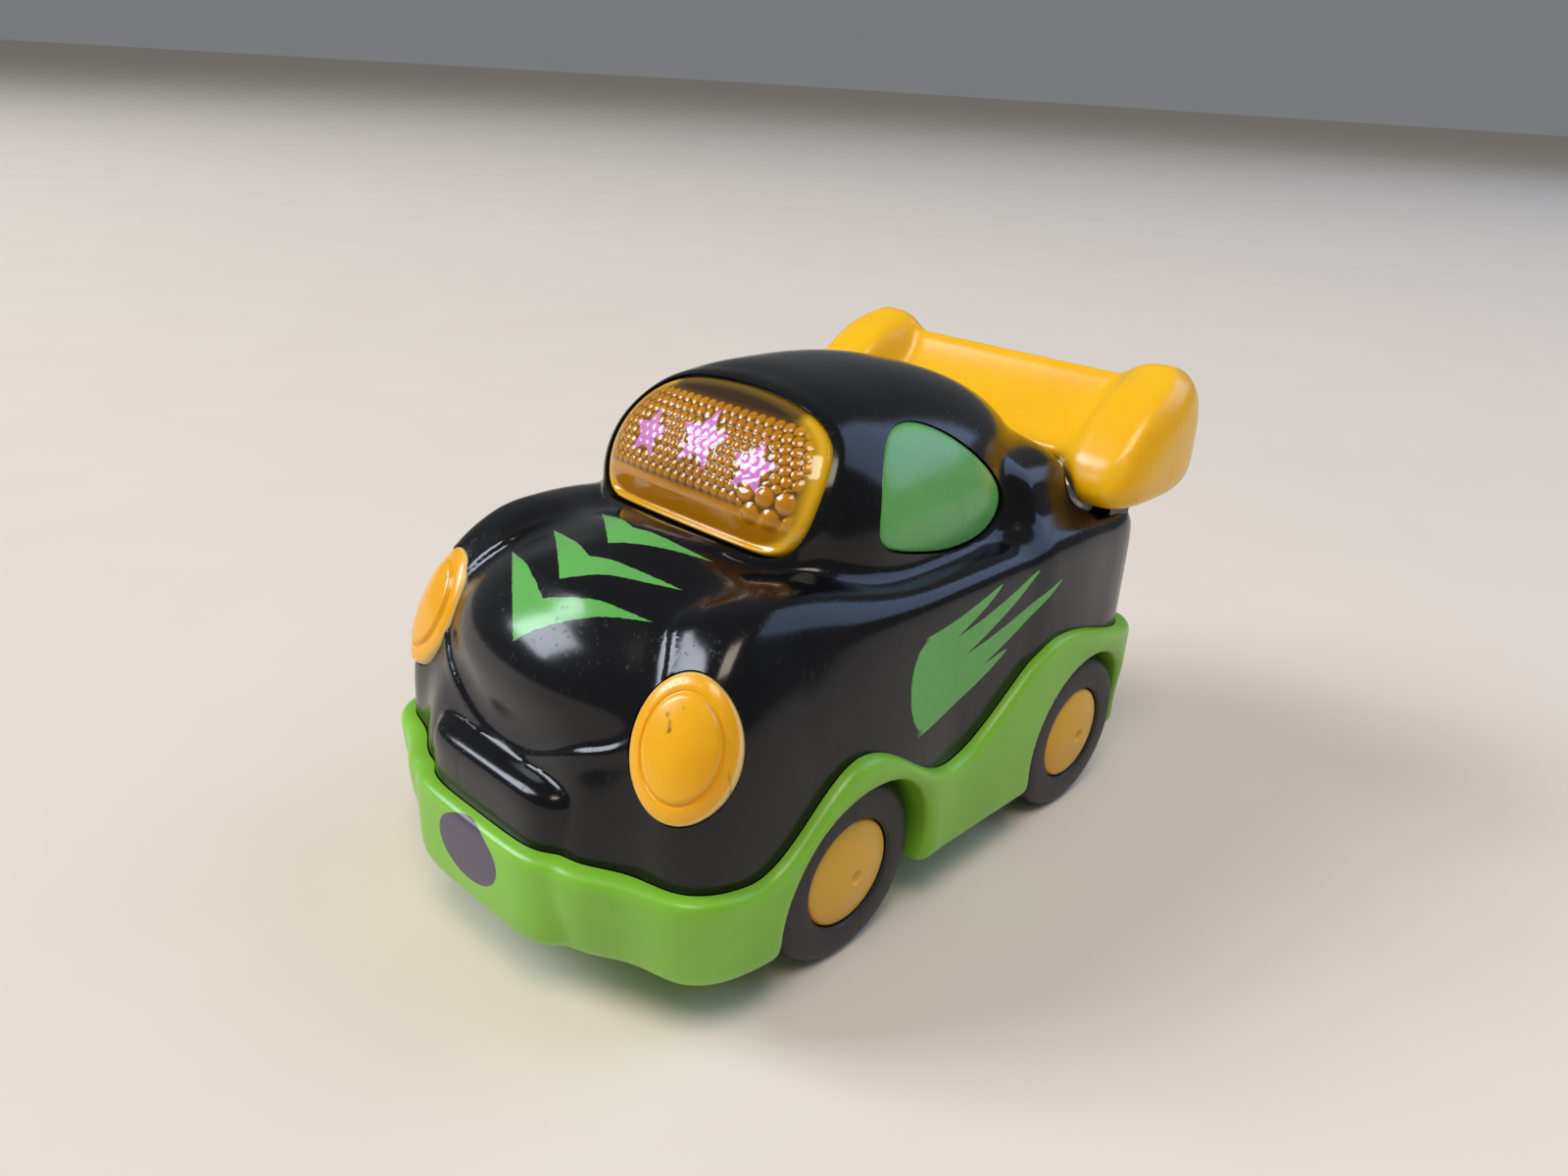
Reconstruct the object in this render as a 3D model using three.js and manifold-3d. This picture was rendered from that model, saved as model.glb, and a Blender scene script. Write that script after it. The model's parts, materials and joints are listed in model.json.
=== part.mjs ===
// Toy race car with a press-in windscreen, a flip-down rear wing, a sliding power switch
// and two free-running axles. Millimetres, +Z up, nose towards -Y, the car's left side at +X.
// The origin is on the ground below the middle of the car.

import * as THREE from "three";
import { mergeVertices } from "three/addons/utils/BufferGeometryUtils.js";
import Module from "manifold-3d";

const wasm = await Module();
wasm.setup();

// Driving dimensions: clearances
const FIT_GAP = 0.3;
const RUNNING_GAP = 0.3;
const WHEEL_GAP = 1.2;

// Driving dimensions: wheels and axles
const WHEEL_RADIUS = 13;
const TYRE_WIDTH = 8.5;
const TYRE_SHOULDER = 1.6;
const TYRE_FACE_X = 31.2;
const HUB_RADIUS = 7.6;
const HUB_RIM = 1.8;
const HUB_DOME = 1.2;
const HUB_SINK = 0.5;
const HUB_PIT_RADIUS = 1.1;
const HUB_PIT_DEPTH = 0.8;
const HUB_SIDES = 16;
const TYRE_SIDES = 20;
const AXLE_RADIUS = 1.25;
const AXLE_GRIP = 5;
const BEARING_WALL = 1.6;
const BEARING_LENGTH = 3;

// Driving dimensions: cells and their bay in the chassis
const CELL_RADIUS = 5.25;
const CELL_LENGTH = 43.3;
const CELL_NUB_RADIUS = 1.9;
const CELL_NUB_LENGTH = 1.2;
const CONTACT_THICKNESS = 0.5;
const CONTACT_SHARE = 0.8;
const SPRING_LENGTH = 3;
const SPRING_WIRE = 0.35;
const SPRING_TURNS = 2.5;
const SPRING_BASE = 0.72;
const SPRING_TIP = 0.36;
const BAY_END_WALL = 1.2;
const BAY_SIDE_WALL = 2;
const BAY_ROOF = 1.3;
const GRIP_COUNT = 3;
const GRIP_WIDTH = 1.2;

// Driving dimensions: shell, trim and floor
const SHELL_WALL = 2;
const TRIM_PROUD = 2;
const TRIM_LAP = 3;
const FLOOR_Z = 8;
const FLOOR_THICKNESS = 2;
const ARCH_GAP = 1.2;
const ARCH_BAND = 4;
const TUB_WALL = 1.3;
const BUMPER_TOP_Z = 22.3;
const CORNER_TRIM_Z = 21.6;
const SILL_TRIM_Z = 22;
const REAR_TRIM_Z = 33;
const TAIL_TRIM_Z = 28.5;
const SILL_RUN = 12;
const SILL_RISE_Y = -2;
const REAR_PEAK_LEAD = 6;
const REAR_PEAK_RUN = 9;
const TAIL_RUN = 10;

// Driving dimensions: styling of the body
const NOSE_Y = -61;
const TAIL_Y = 43.5;
const WAIST_Z = 24;
const TUB_HALF_WIDTH = 31;
const SHOULDER_Z = 49.3;
const HOOD_Z = 53;
const HOOD_HALF_WIDTH = 21.5;
const HOOD_FRONT_Y = -55.5;
const HOOD_REAR = 20;
const FENDER_INSET = 9.2;
const FENDER_HALF_WIDTH = 10.5;
const FENDER_Z = 51.5;
const FENDER_FRONT_Y = -55.5;
const LIP_HALF_WIDTH = 14.5;
const LIP_Z = 30.3;
const LIP_PROUD = 1.2;
const CABIN_HALF_WIDTH = 25;
const CABIN_FRONT_Y = -30.5;
const CABIN_REAR_Y = 30;
const ROOF_Z = 71.6;
const BELT_Z = 52;
const CABIN_Y = -8;
const HOOD_Y = -38;
const HOOD_CENTRE_Z = 33;
const FENDER_Y = -36;
const FENDER_REAR = 30;
const TUB_Y = -9;
const TUB_FRONT = 40;
const NOSE_CENTRE_Y = -40;
const NOSE_CENTRE_Z = 20;
const NOSE_HALF_WIDTH = 24;
const NOSE_REAR = 20;
const NOSE_Z = 32.6;
const LIP_ROOT = 12;
const LIP_CENTRE_Z = 22;
const DECK_Y = 14;
const DECK_FRONT = 9;
const DECK_REAR_Y = 30;
const DECK_HALF_WIDTH = 26.2;
const DECK_CENTRE_Z = 46;
const DECK_Z = 60;
const SKIRT = 30;
const INNER_COARSENESS = 0.75;

// Driving dimensions: windscreen button and the board behind it
const BUTTON_TILT = 21;
const BUTTON_Z = 62.3;
const BUTTON_HALF_HEIGHT = 9.6;
const BUTTON_BOTTOM_HALF = 16.8;
const BUTTON_WIDEST_HALF = 19;
const BUTTON_TOP_HALF = 12;
const BUTTON_CORNER = 4.5;
const BUTTON_WALL = 1.8;
const BUTTON_FLANGE = 1.2;
const BUTTON_SETBACK = 2.5;
const PLUNGER_RADIUS = 2.4;
const PAD_RADIUS = 4.2;
const PAD_HEIGHT = 3.6;
const PAD_CROWN_RADIUS = 2.6;
const PAD_LEDGE = 0.8;
const BOARD_HALF_WIDTH = 16.5;
const BOARD_THICKNESS = 1.2;
const BOARD_DEPTH = 21;
const BOARD_POST_RADIUS = 2;
const BOARD_POST_X = 13;
const BOARD_CORNER = 1.5;
const BOARD_SCREW_LENGTH = 5;
const CHIP_RADIUS = 5;
const CHIP_HEIGHT = 2;
const CHIP_TAPER = 0.8;
const CHIP_DROP = 4;
const LED_RADIUS = 2.5;
const LED_HEIGHT = 6;
const LED_X = 9.5;

// Driving dimensions: headlights and side windows
const HEADLIGHT_OUTSET = 5;
const HEADLIGHT_Z = 40.9;
const HEADLIGHT_PITCH = 29;
const HEADLIGHT_YAW = 25.5;
const HEADLIGHT_HALF_WIDTH = 6.6;
const HEADLIGHT_HALF_HEIGHT = 8.6;
const HEADLIGHT_BULGE = 0.7;
const HEADLIGHT_RING = 2.3;
const INSERT_DEPTH = 1.2;
const WINDOW_CORNER = 5;
const WINDOW_SETBACK = 11.5;
const WINDOW_LENGTH = 29;
const WINDOW_HEIGHT = 17;
const WINDOW_DROP = 2;

// Driving dimensions: rear wing
const POD_X = 27.3;
const POD_Y = 38;
const POD_Z = 59.8;
const POD_HALF_WIDTH = 6.3;
const POD_FRONT = 14;
const POD_REAR = 15;
const POD_UP = 9.8;
const POD_DOWN = 9.6;
const POD_GAP = 0.6;
const POD_ROUNDNESS = 2.4;
const WING_FRONT_Y = 31;
const WING_FRONT_Z = 56.5;
const WING_REAR_Y = 45.5;
const WING_REAR_Z = 68;
const WING_THICKNESS = 3.2;
const PYLON_THICKNESS = 3;
const PYLON_HALF_LENGTH = 3;
const PIN_RADIUS = 1.25;
const PIN_LENGTH = 8;
const WING_SWING = 20;
const PIVOT_LEAD = 3;

// Driving dimensions: screws, speaker and power switch
const SCREW_RADIUS = 1.2;
const SCREW_HEAD_RADIUS = 2.4;
const SCREW_HEAD_HEIGHT = 1.5;
const SCREW_LENGTH = 12;
const SCREW_TAPER = 0.85;
const BOSS_WALL = 1.9;
const BOSS_HEIGHT = 6;
const LUG_WALL = 1.2;
const FRONT_BOSS_X = 17;
const FRONT_BOSS_Y = -48;
const REAR_BOSS_X = 15;
const REAR_BOSS_Y = 36;
const SPEAKER_RADIUS = 12.4;
const SPEAKER_Y = -44;
const SPEAKER_FRAME = 2.4;
const SPEAKER_RING = 1;
const SPEAKER_EDGE = 1.2;
const SPEAKER_MAGNET_RADIUS = 6.5;
const SPEAKER_HEIGHT = 5.6;
const GRILLE_SLOTS = 4;
const GRILLE_SLOT = 1.5;
const GRILLE_SHARE = 0.75;
const SWITCH_TRAVEL = 3;
const SWITCH_THUMB = 4;
const SWITCH_WIDTH = 3;
const SWITCH_BODY_HEIGHT = 4;
const SWITCH_WALL = 1.2;
const SWITCH_PROUD = 1;
const SWITCH_GROOVES = 3;
const SWITCH_GROOVE = 0.5;

// Places worked out from the driving dimensions
const AXLE_Z = WHEEL_RADIUS;
const PIVOT_Y = POD_Y - PIVOT_LEAD;
const BAY_CONTENTS = CELL_LENGTH + CELL_NUB_LENGTH + SPRING_LENGTH + 2 * CONTACT_THICKNESS;
const BAY_HALF_LENGTH = (BAY_CONTENTS + 3 * FIT_GAP) / 2;
const AXLE_Y = BAY_HALF_LENGTH + BAY_END_WALL + RUNNING_GAP + AXLE_RADIUS;
const CELL_X = CELL_RADIUS + FIT_GAP / 2;
const BAY_HALF_WIDTH = 2 * CELL_RADIUS + 1.5 * FIT_GAP;
const COVER_THICKNESS = FLOOR_THICKNESS - FIT_GAP;
const CELL_Z = FLOOR_Z + FLOOR_THICKNESS + FIT_GAP + CELL_RADIUS;
const BAY_TOP_Z = CELL_Z + CELL_RADIUS + FIT_GAP + BAY_ROOF;
const FLOOR_TOP_Z = FLOOR_Z + FLOOR_THICKNESS;
const ARCH_RADIUS = WHEEL_RADIUS + ARCH_GAP;
const TUB_RADIUS = ARCH_RADIUS + TUB_WALL;
const WELL_X = TYRE_FACE_X - TYRE_WIDTH - WHEEL_GAP;
const TUB_X = WELL_X - TUB_WALL;
const BUMPER_Y = NOSE_Y - TRIM_PROUD;
const FENDER_X = TUB_HALF_WIDTH - FENDER_INSET;
const HEADLIGHT_X = FENDER_X + HEADLIGHT_OUTSET;
const CAR_MIDDLE_Y = (BUMPER_Y - LIP_PROUD + POD_Y + POD_REAR) / 2;
const BOSS_RADIUS = SCREW_HEAD_RADIUS + FIT_GAP + BOSS_WALL / 2;
const BOSS_TOP_Z = FLOOR_TOP_Z + BOSS_HEIGHT;
const SHELL_BOSS_RADIUS = SCREW_RADIUS + FIT_GAP + BOSS_WALL;
const LUG_X = BAY_HALF_WIDTH + BAY_SIDE_WALL + SCREW_HEAD_RADIUS + FIT_GAP;
const LUG_RADIUS = SCREW_HEAD_RADIUS + LUG_WALL;
const SWITCH_Y = REAR_BOSS_Y;
const SWITCH_SLOT_HALF = (SWITCH_THUMB + SWITCH_TRAVEL) / 2 + FIT_GAP;
const SWITCH_BODY_HALF = SWITCH_SLOT_HALF + SWITCH_WALL;
const SWITCH_BODY_DEEP = SWITCH_WIDTH / 2 + FIT_GAP + SWITCH_WALL;
const BIG = 200;

// The windscreen button's own axes: u to the car's left, v up the slope, n out through the face
const BUTTON_ANGLE = THREE.MathUtils.degToRad(BUTTON_TILT);
const BUTTON_N = new THREE.Vector3(0, -Math.cos(BUTTON_ANGLE), Math.sin(BUTTON_ANGLE));
const BUTTON_V = new THREE.Vector3(0, Math.sin(BUTTON_ANGLE), Math.cos(BUTTON_ANGLE));
const BUTTON_CENTRE = new THREE.Vector3(0, CABIN_FRONT_Y + BUTTON_SETBACK, BUTTON_Z);
const BOARD_POST_V = BUTTON_HALF_HEIGHT + BUTTON_FLANGE + FIT_GAP + BOARD_POST_RADIUS + FIT_GAP;

// Finishes
const FINISH = {
  black: { color: 0x121214, roughness: 0.25, metalness: 0 },
  green: { color: 0x6fae32, roughness: 0.4, metalness: 0 },
  leaf: { color: 0x68ad5a, roughness: 0.45, metalness: 0 },
  yellow: { color: 0xf7b90c, roughness: 0.35, metalness: 0 },
  orange: { color: 0xf0a818, roughness: 0.35, metalness: 0 },
  amber: { color: 0xd9791c, roughness: 0.2, metalness: 0 },
  tyre: { color: 0x1b1b1e, roughness: 0.6, metalness: 0 },
  hub: { color: 0xd7a433, roughness: 0.5, metalness: 0 },
  steel: { color: 0xb9bcc0, roughness: 0.3, metalness: 1 },
  cell: { color: 0x3a6fa8, roughness: 0.4, metalness: 0.3 },
  board: { color: 0x2f6b3c, roughness: 0.5, metalness: 0 },
  rubber: { color: 0xd8d8d4, roughness: 0.7, metalness: 0 },
  paper: { color: 0x2a2a2c, roughness: 0.8, metalness: 0 },
  clear: { color: 0xf2f2ee, roughness: 0.15, metalness: 0 },
};

// Signed volume, to tell which way a closed surface faces
function signedVolume(position, index) {
  let total = 0;
  const a = new THREE.Vector3();
  const b = new THREE.Vector3();
  const c = new THREE.Vector3();
  for (let i = 0; i < index.length; i += 3) {
    a.fromBufferAttribute(position, index[i]);
    b.fromBufferAttribute(position, index[i + 1]);
    c.fromBufferAttribute(position, index[i + 2]);
    total += a.dot(b.cross(c)) / 6;
  }
  return total;
}

// A closed geometry as a solid for joining and cutting
function solid(geometry) {
  geometry.deleteAttribute("normal");
  geometry.deleteAttribute("uv");
  const merged = mergeVertices(geometry, 1e-4);
  const index = Array.from(merged.index.array);
  const kept = [];
  for (let i = 0; i < index.length; i += 3) {
    const [a, b, c] = index.slice(i, i + 3);
    if (a !== b && b !== c && c !== a) {
      kept.push(a, b, c);
    }
  }
  if (signedVolume(merged.attributes.position, kept) < 0) {
    kept.reverse();
  }
  return new wasm.Manifold(
    new wasm.Mesh({
      numProp: 3,
      vertProperties: Float32Array.from(merged.attributes.position.array),
      triVerts: Uint32Array.from(kept),
    }),
  );
}

function join(solids) {
  return solids.reduce((whole, piece) => whole.add(piece));
}

function box(fromX, toX, fromY, toY, fromZ, toZ) {
  const geometry = new THREE.BoxGeometry(toX - fromX, toY - fromY, toZ - fromZ);
  geometry.translate((fromX + toX) / 2, (fromY + toY) / 2, (fromZ + toZ) / 2);
  return solid(geometry);
}

// A straight round rod between two points, tapering from one radius to another
function rod(from, to, radius, sides = 16, endRadius = radius) {
  const start = new THREE.Vector3(...from);
  const end = new THREE.Vector3(...to);
  const axis = end.clone().sub(start);
  const geometry = new THREE.CylinderGeometry(endRadius, radius, axis.length(), sides);
  const turn = new THREE.Quaternion().setFromUnitVectors(new THREE.Vector3(0, 1, 0), axis.clone().normalize());
  geometry.applyQuaternion(turn);
  geometry.translate(...start.add(end).multiplyScalar(0.5).toArray());
  return solid(geometry);
}

// An outline extruded along a placed axis: its own x, y and depth run along the matrix's axes
function extrude(shape, depth, matrix, curveSegments = 8) {
  const geometry = new THREE.ExtrudeGeometry(shape, { depth, bevelEnabled: false, curveSegments });
  geometry.applyMatrix4(matrix);
  return solid(geometry);
}

// An outline drawn in (y, z), extruded across the car
function extrudeAcross(shape, fromX, toX, curveSegments = 8) {
  const matrix = new THREE.Matrix4().makeBasis(
    new THREE.Vector3(0, 1, 0),
    new THREE.Vector3(0, 0, 1),
    new THREE.Vector3(1, 0, 0),
  );
  matrix.setPosition(fromX, 0, 0);
  return extrude(shape, toX - fromX, matrix, curveSegments);
}

// A profile of [radius, station] pairs turned about the X axis, with a flat at the bottom
function turnAboutX(profile, sides) {
  const points = profile.map(([radius, station]) => new THREE.Vector2(radius, station));
  const geometry = new THREE.LatheGeometry(points, sides, Math.PI / sides);
  geometry.rotateZ(-Math.PI / 2);
  return geometry;
}

// Convex corners moved outwards by a distance, each edge staying parallel to itself
function growCorners(corners, distance) {
  return corners.map((corner, i) => {
    const before = corners[(i + corners.length - 1) % corners.length];
    const after = corners[(i + 1) % corners.length];
    const inward = new THREE.Vector2(corner[0] - before[0], corner[1] - before[1]).normalize();
    const onward = new THREE.Vector2(after[0] - corner[0], after[1] - corner[1]).normalize();
    const normal = new THREE.Vector2(inward.y + onward.y, -inward.x - onward.x).normalize();
    const reach = distance / normal.dot(new THREE.Vector2(inward.y, -inward.x));
    return [corner[0] + normal.x * reach, corner[1] + normal.y * reach];
  });
}

// An outline through corners taken anticlockwise, each rounded off by a curve
function roundedOutline(corners, radius, grow = 0) {
  const grown = growCorners(corners, grow);
  const shape = new THREE.Shape();
  grown.forEach((corner, i) => {
    const here = new THREE.Vector2(...corner);
    const before = new THREE.Vector2(...grown[(i + grown.length - 1) % grown.length]);
    const after = new THREE.Vector2(...grown[(i + 1) % grown.length]);
    const cutBefore = Math.min(radius, here.distanceTo(before) * 0.45);
    const cutAfter = Math.min(radius, here.distanceTo(after) * 0.45);
    const start = here.clone().add(before.sub(here).setLength(cutBefore));
    const end = here.clone().add(after.sub(here).setLength(cutAfter));
    if (i === 0) {
      shape.moveTo(start.x, start.y);
    } else {
      shape.lineTo(start.x, start.y);
    }
    shape.quadraticCurveTo(here.x, here.y, end.x, end.y);
  });
  shape.closePath();
  return shape;
}

function oval(halfWidth, halfHeight) {
  const shape = new THREE.Shape();
  shape.absellipse(0, 0, halfWidth, halfHeight, 0, 2 * Math.PI);
  return shape;
}

// Turns a direction towards the nearest diagonal, so that squarer forms get more points at their corners
function crowdCorners(direction, amount) {
  const azimuth = Math.atan2(direction.y, direction.x);
  const height = Math.asin(THREE.MathUtils.clamp(direction.z, -1, 1));
  const turned = azimuth + amount * Math.sin(4 * azimuth);
  const raised = height + amount * Math.sin(4 * height);
  direction.set(Math.cos(raised) * Math.cos(turned), Math.cos(raised) * Math.sin(turned), Math.sin(raised));
}

// One swelling form of the body: a superellipsoid with its own reach to each side,
// squarer in plan or in section as its exponents grow. An offset moves its whole skin.
function swelling(form, offset, coarseness = 1) {
  const around = 2 * Math.round((form.around * coarseness) / 2);
  const geometry = new THREE.SphereGeometry(1, around, Math.round(form.rings * coarseness));
  geometry.rotateX(Math.PI / 2);
  const position = geometry.attributes.position;
  const point = new THREE.Vector3();
  for (let i = 0; i < position.count; i += 1) {
    point.fromBufferAttribute(position, i);
    crowdCorners(point, form.crowd ?? 0);
    const plan = point.y < 0 ? form.planFront : form.planRear;
    const flat = (Math.abs(point.x) ** plan + Math.abs(point.y) ** plan) ** (1 / plan);
    const reach = (flat ** form.section + Math.abs(point.z) ** form.section) ** (1 / form.section);
    const along = point.y < 0 ? form.front : form.rear;
    const upright = point.z < 0 ? form.down : form.up;
    position.setXYZ(
      i,
      form.at[0] + (point.x * (form.half + offset)) / reach,
      form.at[1] + (point.y * (along + offset)) / reach,
      form.at[2] + (point.z * (upright + offset)) / reach,
    );
  }
  return solid(geometry);
}

// The swelling forms that make up the body's outside
const FORMS = {
  cabin: {
    at: [0, CABIN_Y, BELT_Z], half: CABIN_HALF_WIDTH, front: CABIN_Y - CABIN_FRONT_Y,
    rear: CABIN_REAR_Y - CABIN_Y, up: ROOF_Z - BELT_Z, down: SKIRT, planFront: 3.5, planRear: 2.5, section: 2.3,
    around: 20, rings: 10,
  },
  hood: {
    at: [0, HOOD_Y, HOOD_CENTRE_Z], half: HOOD_HALF_WIDTH, front: HOOD_Y - HOOD_FRONT_Y, rear: HOOD_REAR,
    up: HOOD_Z - HOOD_CENTRE_Z, down: HOOD_Z - HOOD_CENTRE_Z, planFront: 2, planRear: 2, section: 2.1,
    around: 16, rings: 10,
  },
  tub: {
    at: [0, TUB_Y, WAIST_Z], half: TUB_HALF_WIDTH, front: TUB_FRONT, rear: TAIL_Y - TUB_Y,
    up: SHOULDER_Z - WAIST_Z, down: SKIRT, planFront: 2.4, planRear: 10, section: 16,
    around: 24, rings: 12, crowd: 0.14,
  },
  nose: {
    at: [0, NOSE_CENTRE_Y, NOSE_CENTRE_Z], half: NOSE_HALF_WIDTH, front: NOSE_CENTRE_Y - NOSE_Y,
    rear: NOSE_REAR, up: NOSE_Z - NOSE_CENTRE_Z, down: SKIRT, planFront: 2.6, planRear: 2.2, section: 4,
    around: 16, rings: 8,
  },
  lip: {
    at: [0, NOSE_Y + LIP_ROOT, LIP_CENTRE_Z], half: LIP_HALF_WIDTH, front: LIP_ROOT + LIP_PROUD, rear: LIP_ROOT,
    up: LIP_Z - LIP_CENTRE_Z, down: LIP_ROOT, planFront: 5, planRear: 4, section: 8,
    around: 16, rings: 8, crowd: 0.1,
  },
  deck: {
    at: [0, DECK_Y, DECK_CENTRE_Z], half: DECK_HALF_WIDTH, front: DECK_FRONT, rear: DECK_REAR_Y - DECK_Y,
    up: DECK_Z - DECK_CENTRE_Z, down: SKIRT, planFront: 2, planRear: 3.6, section: 5,
    around: 16, rings: 8,
  },
  fender_left: fender(1),
  fender_right: fender(-1),
};

function fender(side) {
  return {
    at: [side * FENDER_X, FENDER_Y, WAIST_Z], half: FENDER_HALF_WIDTH, front: FENDER_Y - FENDER_FRONT_Y,
    rear: FENDER_REAR, up: FENDER_Z - WAIST_Z, down: SKIRT, planFront: 3.2, planRear: 2.4, section: 2.2,
    around: 16, rings: 10,
  };
}

function fenderName(side) {
  return side > 0 ? "fender_left" : "fender_right";
}

const WHOLE = Object.keys(FORMS);
const LOWER = ["tub", "nose", "lip", "fender_left", "fender_right"];
const INSIDE = WHOLE.filter((name) => name !== "lip");
const UNDER_WING = ["tub", "deck"];

// The outside of some of the forms together, moved out or in by an offset
function skin(names, offset) {
  return join(names.map((name) => swelling(FORMS[name], offset)));
}

// The room inside the shell: the cabin as fine as its skin, because the button's flange runs in it
function cavity(depth) {
  const others = INSIDE.filter((name) => name !== "cabin");
  return join([
    swelling(FORMS.cabin, -depth),
    ...others.map((name) => swelling(FORMS[name], -depth, INNER_COARSENESS)),
  ]);
}

// The part of a column that lies between two depths of one form's skin
function plate(column, name, outer, inner) {
  return column.intersect(swelling(FORMS[name], outer)).subtract(swelling(FORMS[name], inner));
}

// Everything below the wavy top edge of the trim, lowered by a drop
function belowTrim(drop) {
  const shape = new THREE.Shape();
  const radius = ARCH_RADIUS + ARCH_BAND - drop;
  const rise = Math.asin((CORNER_TRIM_Z - drop - AXLE_Z) / radius);
  const cornerY = -AXLE_Y - radius * Math.cos(rise);
  const sillRise = Math.asin((SILL_TRIM_Z - drop - AXLE_Z) / radius);
  const sillY = -AXLE_Y + radius * Math.cos(sillRise);
  shape.moveTo(-BIG, -BIG);
  shape.lineTo(-BIG, BUMPER_TOP_Z - drop);
  shape.lineTo(NOSE_Y, BUMPER_TOP_Z - drop);
  shape.quadraticCurveTo((NOSE_Y + cornerY) / 2, BUMPER_TOP_Z - drop, cornerY, CORNER_TRIM_Z - drop);
  shape.absarc(-AXLE_Y, AXLE_Z, radius, Math.PI - rise, sillRise, true);
  const peakY = AXLE_Y - REAR_PEAK_LEAD;
  const peakZ = REAR_TRIM_Z - drop;
  const tailZ = TAIL_TRIM_Z - drop;
  shape.bezierCurveTo(sillY + SILL_RUN, SILL_TRIM_Z - drop, SILL_RISE_Y, peakZ, peakY, peakZ);
  shape.bezierCurveTo(peakY + REAR_PEAK_RUN, peakZ, TAIL_Y - TAIL_RUN, tailZ, TAIL_Y, tailZ);
  shape.lineTo(BIG, tailZ);
  shape.lineTo(BIG, -BIG);
  shape.closePath();
  return extrudeAcross(shape, -BIG, BIG, 6);
}

function wheelPlaces() {
  return [
    { axle: "front", y: -AXLE_Y },
    { axle: "rear", y: AXLE_Y },
  ];
}

// A cylinder across the car about one axle, on one side from an inner face outwards
function wheelCylinder(side, y, radius, innerX) {
  return rod([side * innerX, y, AXLE_Z], [side * BIG, y, AXLE_Z], radius, 20);
}

function wheelCylinders(radius, innerX) {
  const places = wheelPlaces();
  return join([-1, 1].flatMap((side) => places.map(({ y }) => wheelCylinder(side, y, radius, innerX))));
}

function bossPlaces() {
  return [
    { name: "front_left", x: FRONT_BOSS_X, y: FRONT_BOSS_Y },
    { name: "front_right", x: -FRONT_BOSS_X, y: FRONT_BOSS_Y },
    { name: "rear_left", x: REAR_BOSS_X, y: REAR_BOSS_Y },
    { name: "rear_right", x: -REAR_BOSS_X, y: REAR_BOSS_Y },
  ];
}

// A point at (u, v) and a depth behind the middle of the button's face
function behindButton(u, v, depth) {
  const point = BUTTON_CENTRE.clone();
  point.x += u;
  point.addScaledVector(BUTTON_V, v);
  point.addScaledVector(BUTTON_N, -depth);
  return point.toArray();
}

function buttonMatrix(depth) {
  const matrix = new THREE.Matrix4().makeBasis(new THREE.Vector3(1, 0, 0), BUTTON_V, BUTTON_N);
  matrix.setPosition(...behindButton(0, 0, depth));
  return matrix;
}

// The button's outline, grown by a distance, as a column through the windscreen
function buttonColumn(grow) {
  const corners = [
    [-BUTTON_BOTTOM_HALF, -BUTTON_HALF_HEIGHT],
    [BUTTON_BOTTOM_HALF, -BUTTON_HALF_HEIGHT],
    [BUTTON_WIDEST_HALF, -BUTTON_HALF_HEIGHT / 5],
    [BUTTON_TOP_HALF, BUTTON_HALF_HEIGHT],
    [-BUTTON_TOP_HALF, BUTTON_HALF_HEIGHT],
    [-BUTTON_WIDEST_HALF, -BUTTON_HALF_HEIGHT / 5],
  ];
  const reach = BOARD_DEPTH - PAD_HEIGHT;
  return extrude(roundedOutline(corners, BUTTON_CORNER, grow), 2 * reach, buttonMatrix(reach), 2);
}

function boardPosts() {
  return [
    { name: "left", u: BOARD_POST_X, v: -BOARD_POST_V },
    { name: "right", u: -BOARD_POST_X, v: -BOARD_POST_V },
    { name: "top", u: 0, v: BOARD_POST_V },
  ];
}

// A headlight's oval column, looking out through the front of the fender
function headlightColumn(side, shrink) {
  const pitch = THREE.MathUtils.degToRad(HEADLIGHT_PITCH);
  const yaw = THREE.MathUtils.degToRad(HEADLIGHT_YAW);
  const matrix = new THREE.Matrix4().makeRotationFromEuler(
    new THREE.Euler(Math.PI / 2 - pitch, 0, side * yaw, "ZYX"),
  );
  const outwards = new THREE.Vector3(0, 0, 1).transformDirection(matrix);
  const depth = (FENDER_Y - FENDER_FRONT_Y) / 2;
  const root = new THREE.Vector3(side * HEADLIGHT_X, FENDER_FRONT_Y, HEADLIGHT_Z);
  root.addScaledVector(outwards, -depth);
  matrix.setPosition(root);
  const shape = oval(HEADLIGHT_HALF_WIDTH - shrink, HEADLIGHT_HALF_HEIGHT - shrink);
  return extrude(shape, 2 * depth, matrix, 6);
}

// Corners of a side window, as shares of its length and height
const WINDOW_CORNERS = [
  [0, 0.22],
  [0.42, 0],
  [0.93, 0.04],
  [1, 0.33],
  [0.47, 0.99],
  [0.3, 1],
  [0, 0.5],
];

// A side window's column across one flank of the cabin
function windowColumn(side, grow) {
  const frontY = CABIN_FRONT_Y + WINDOW_SETBACK;
  const sillZ = BELT_Z - WINDOW_DROP;
  const corners = WINDOW_CORNERS.map(([along, up]) => [
    frontY + along * WINDOW_LENGTH,
    sillZ + up * WINDOW_HEIGHT,
  ]);
  const shape = roundedOutline(corners, WINDOW_CORNER, grow);
  const inner = CABIN_HALF_WIDTH / 2;
  return side > 0 ? extrudeAcross(shape, inner, BIG, 3) : extrudeAcross(shape, -BIG, -inner, 3);
}

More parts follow.
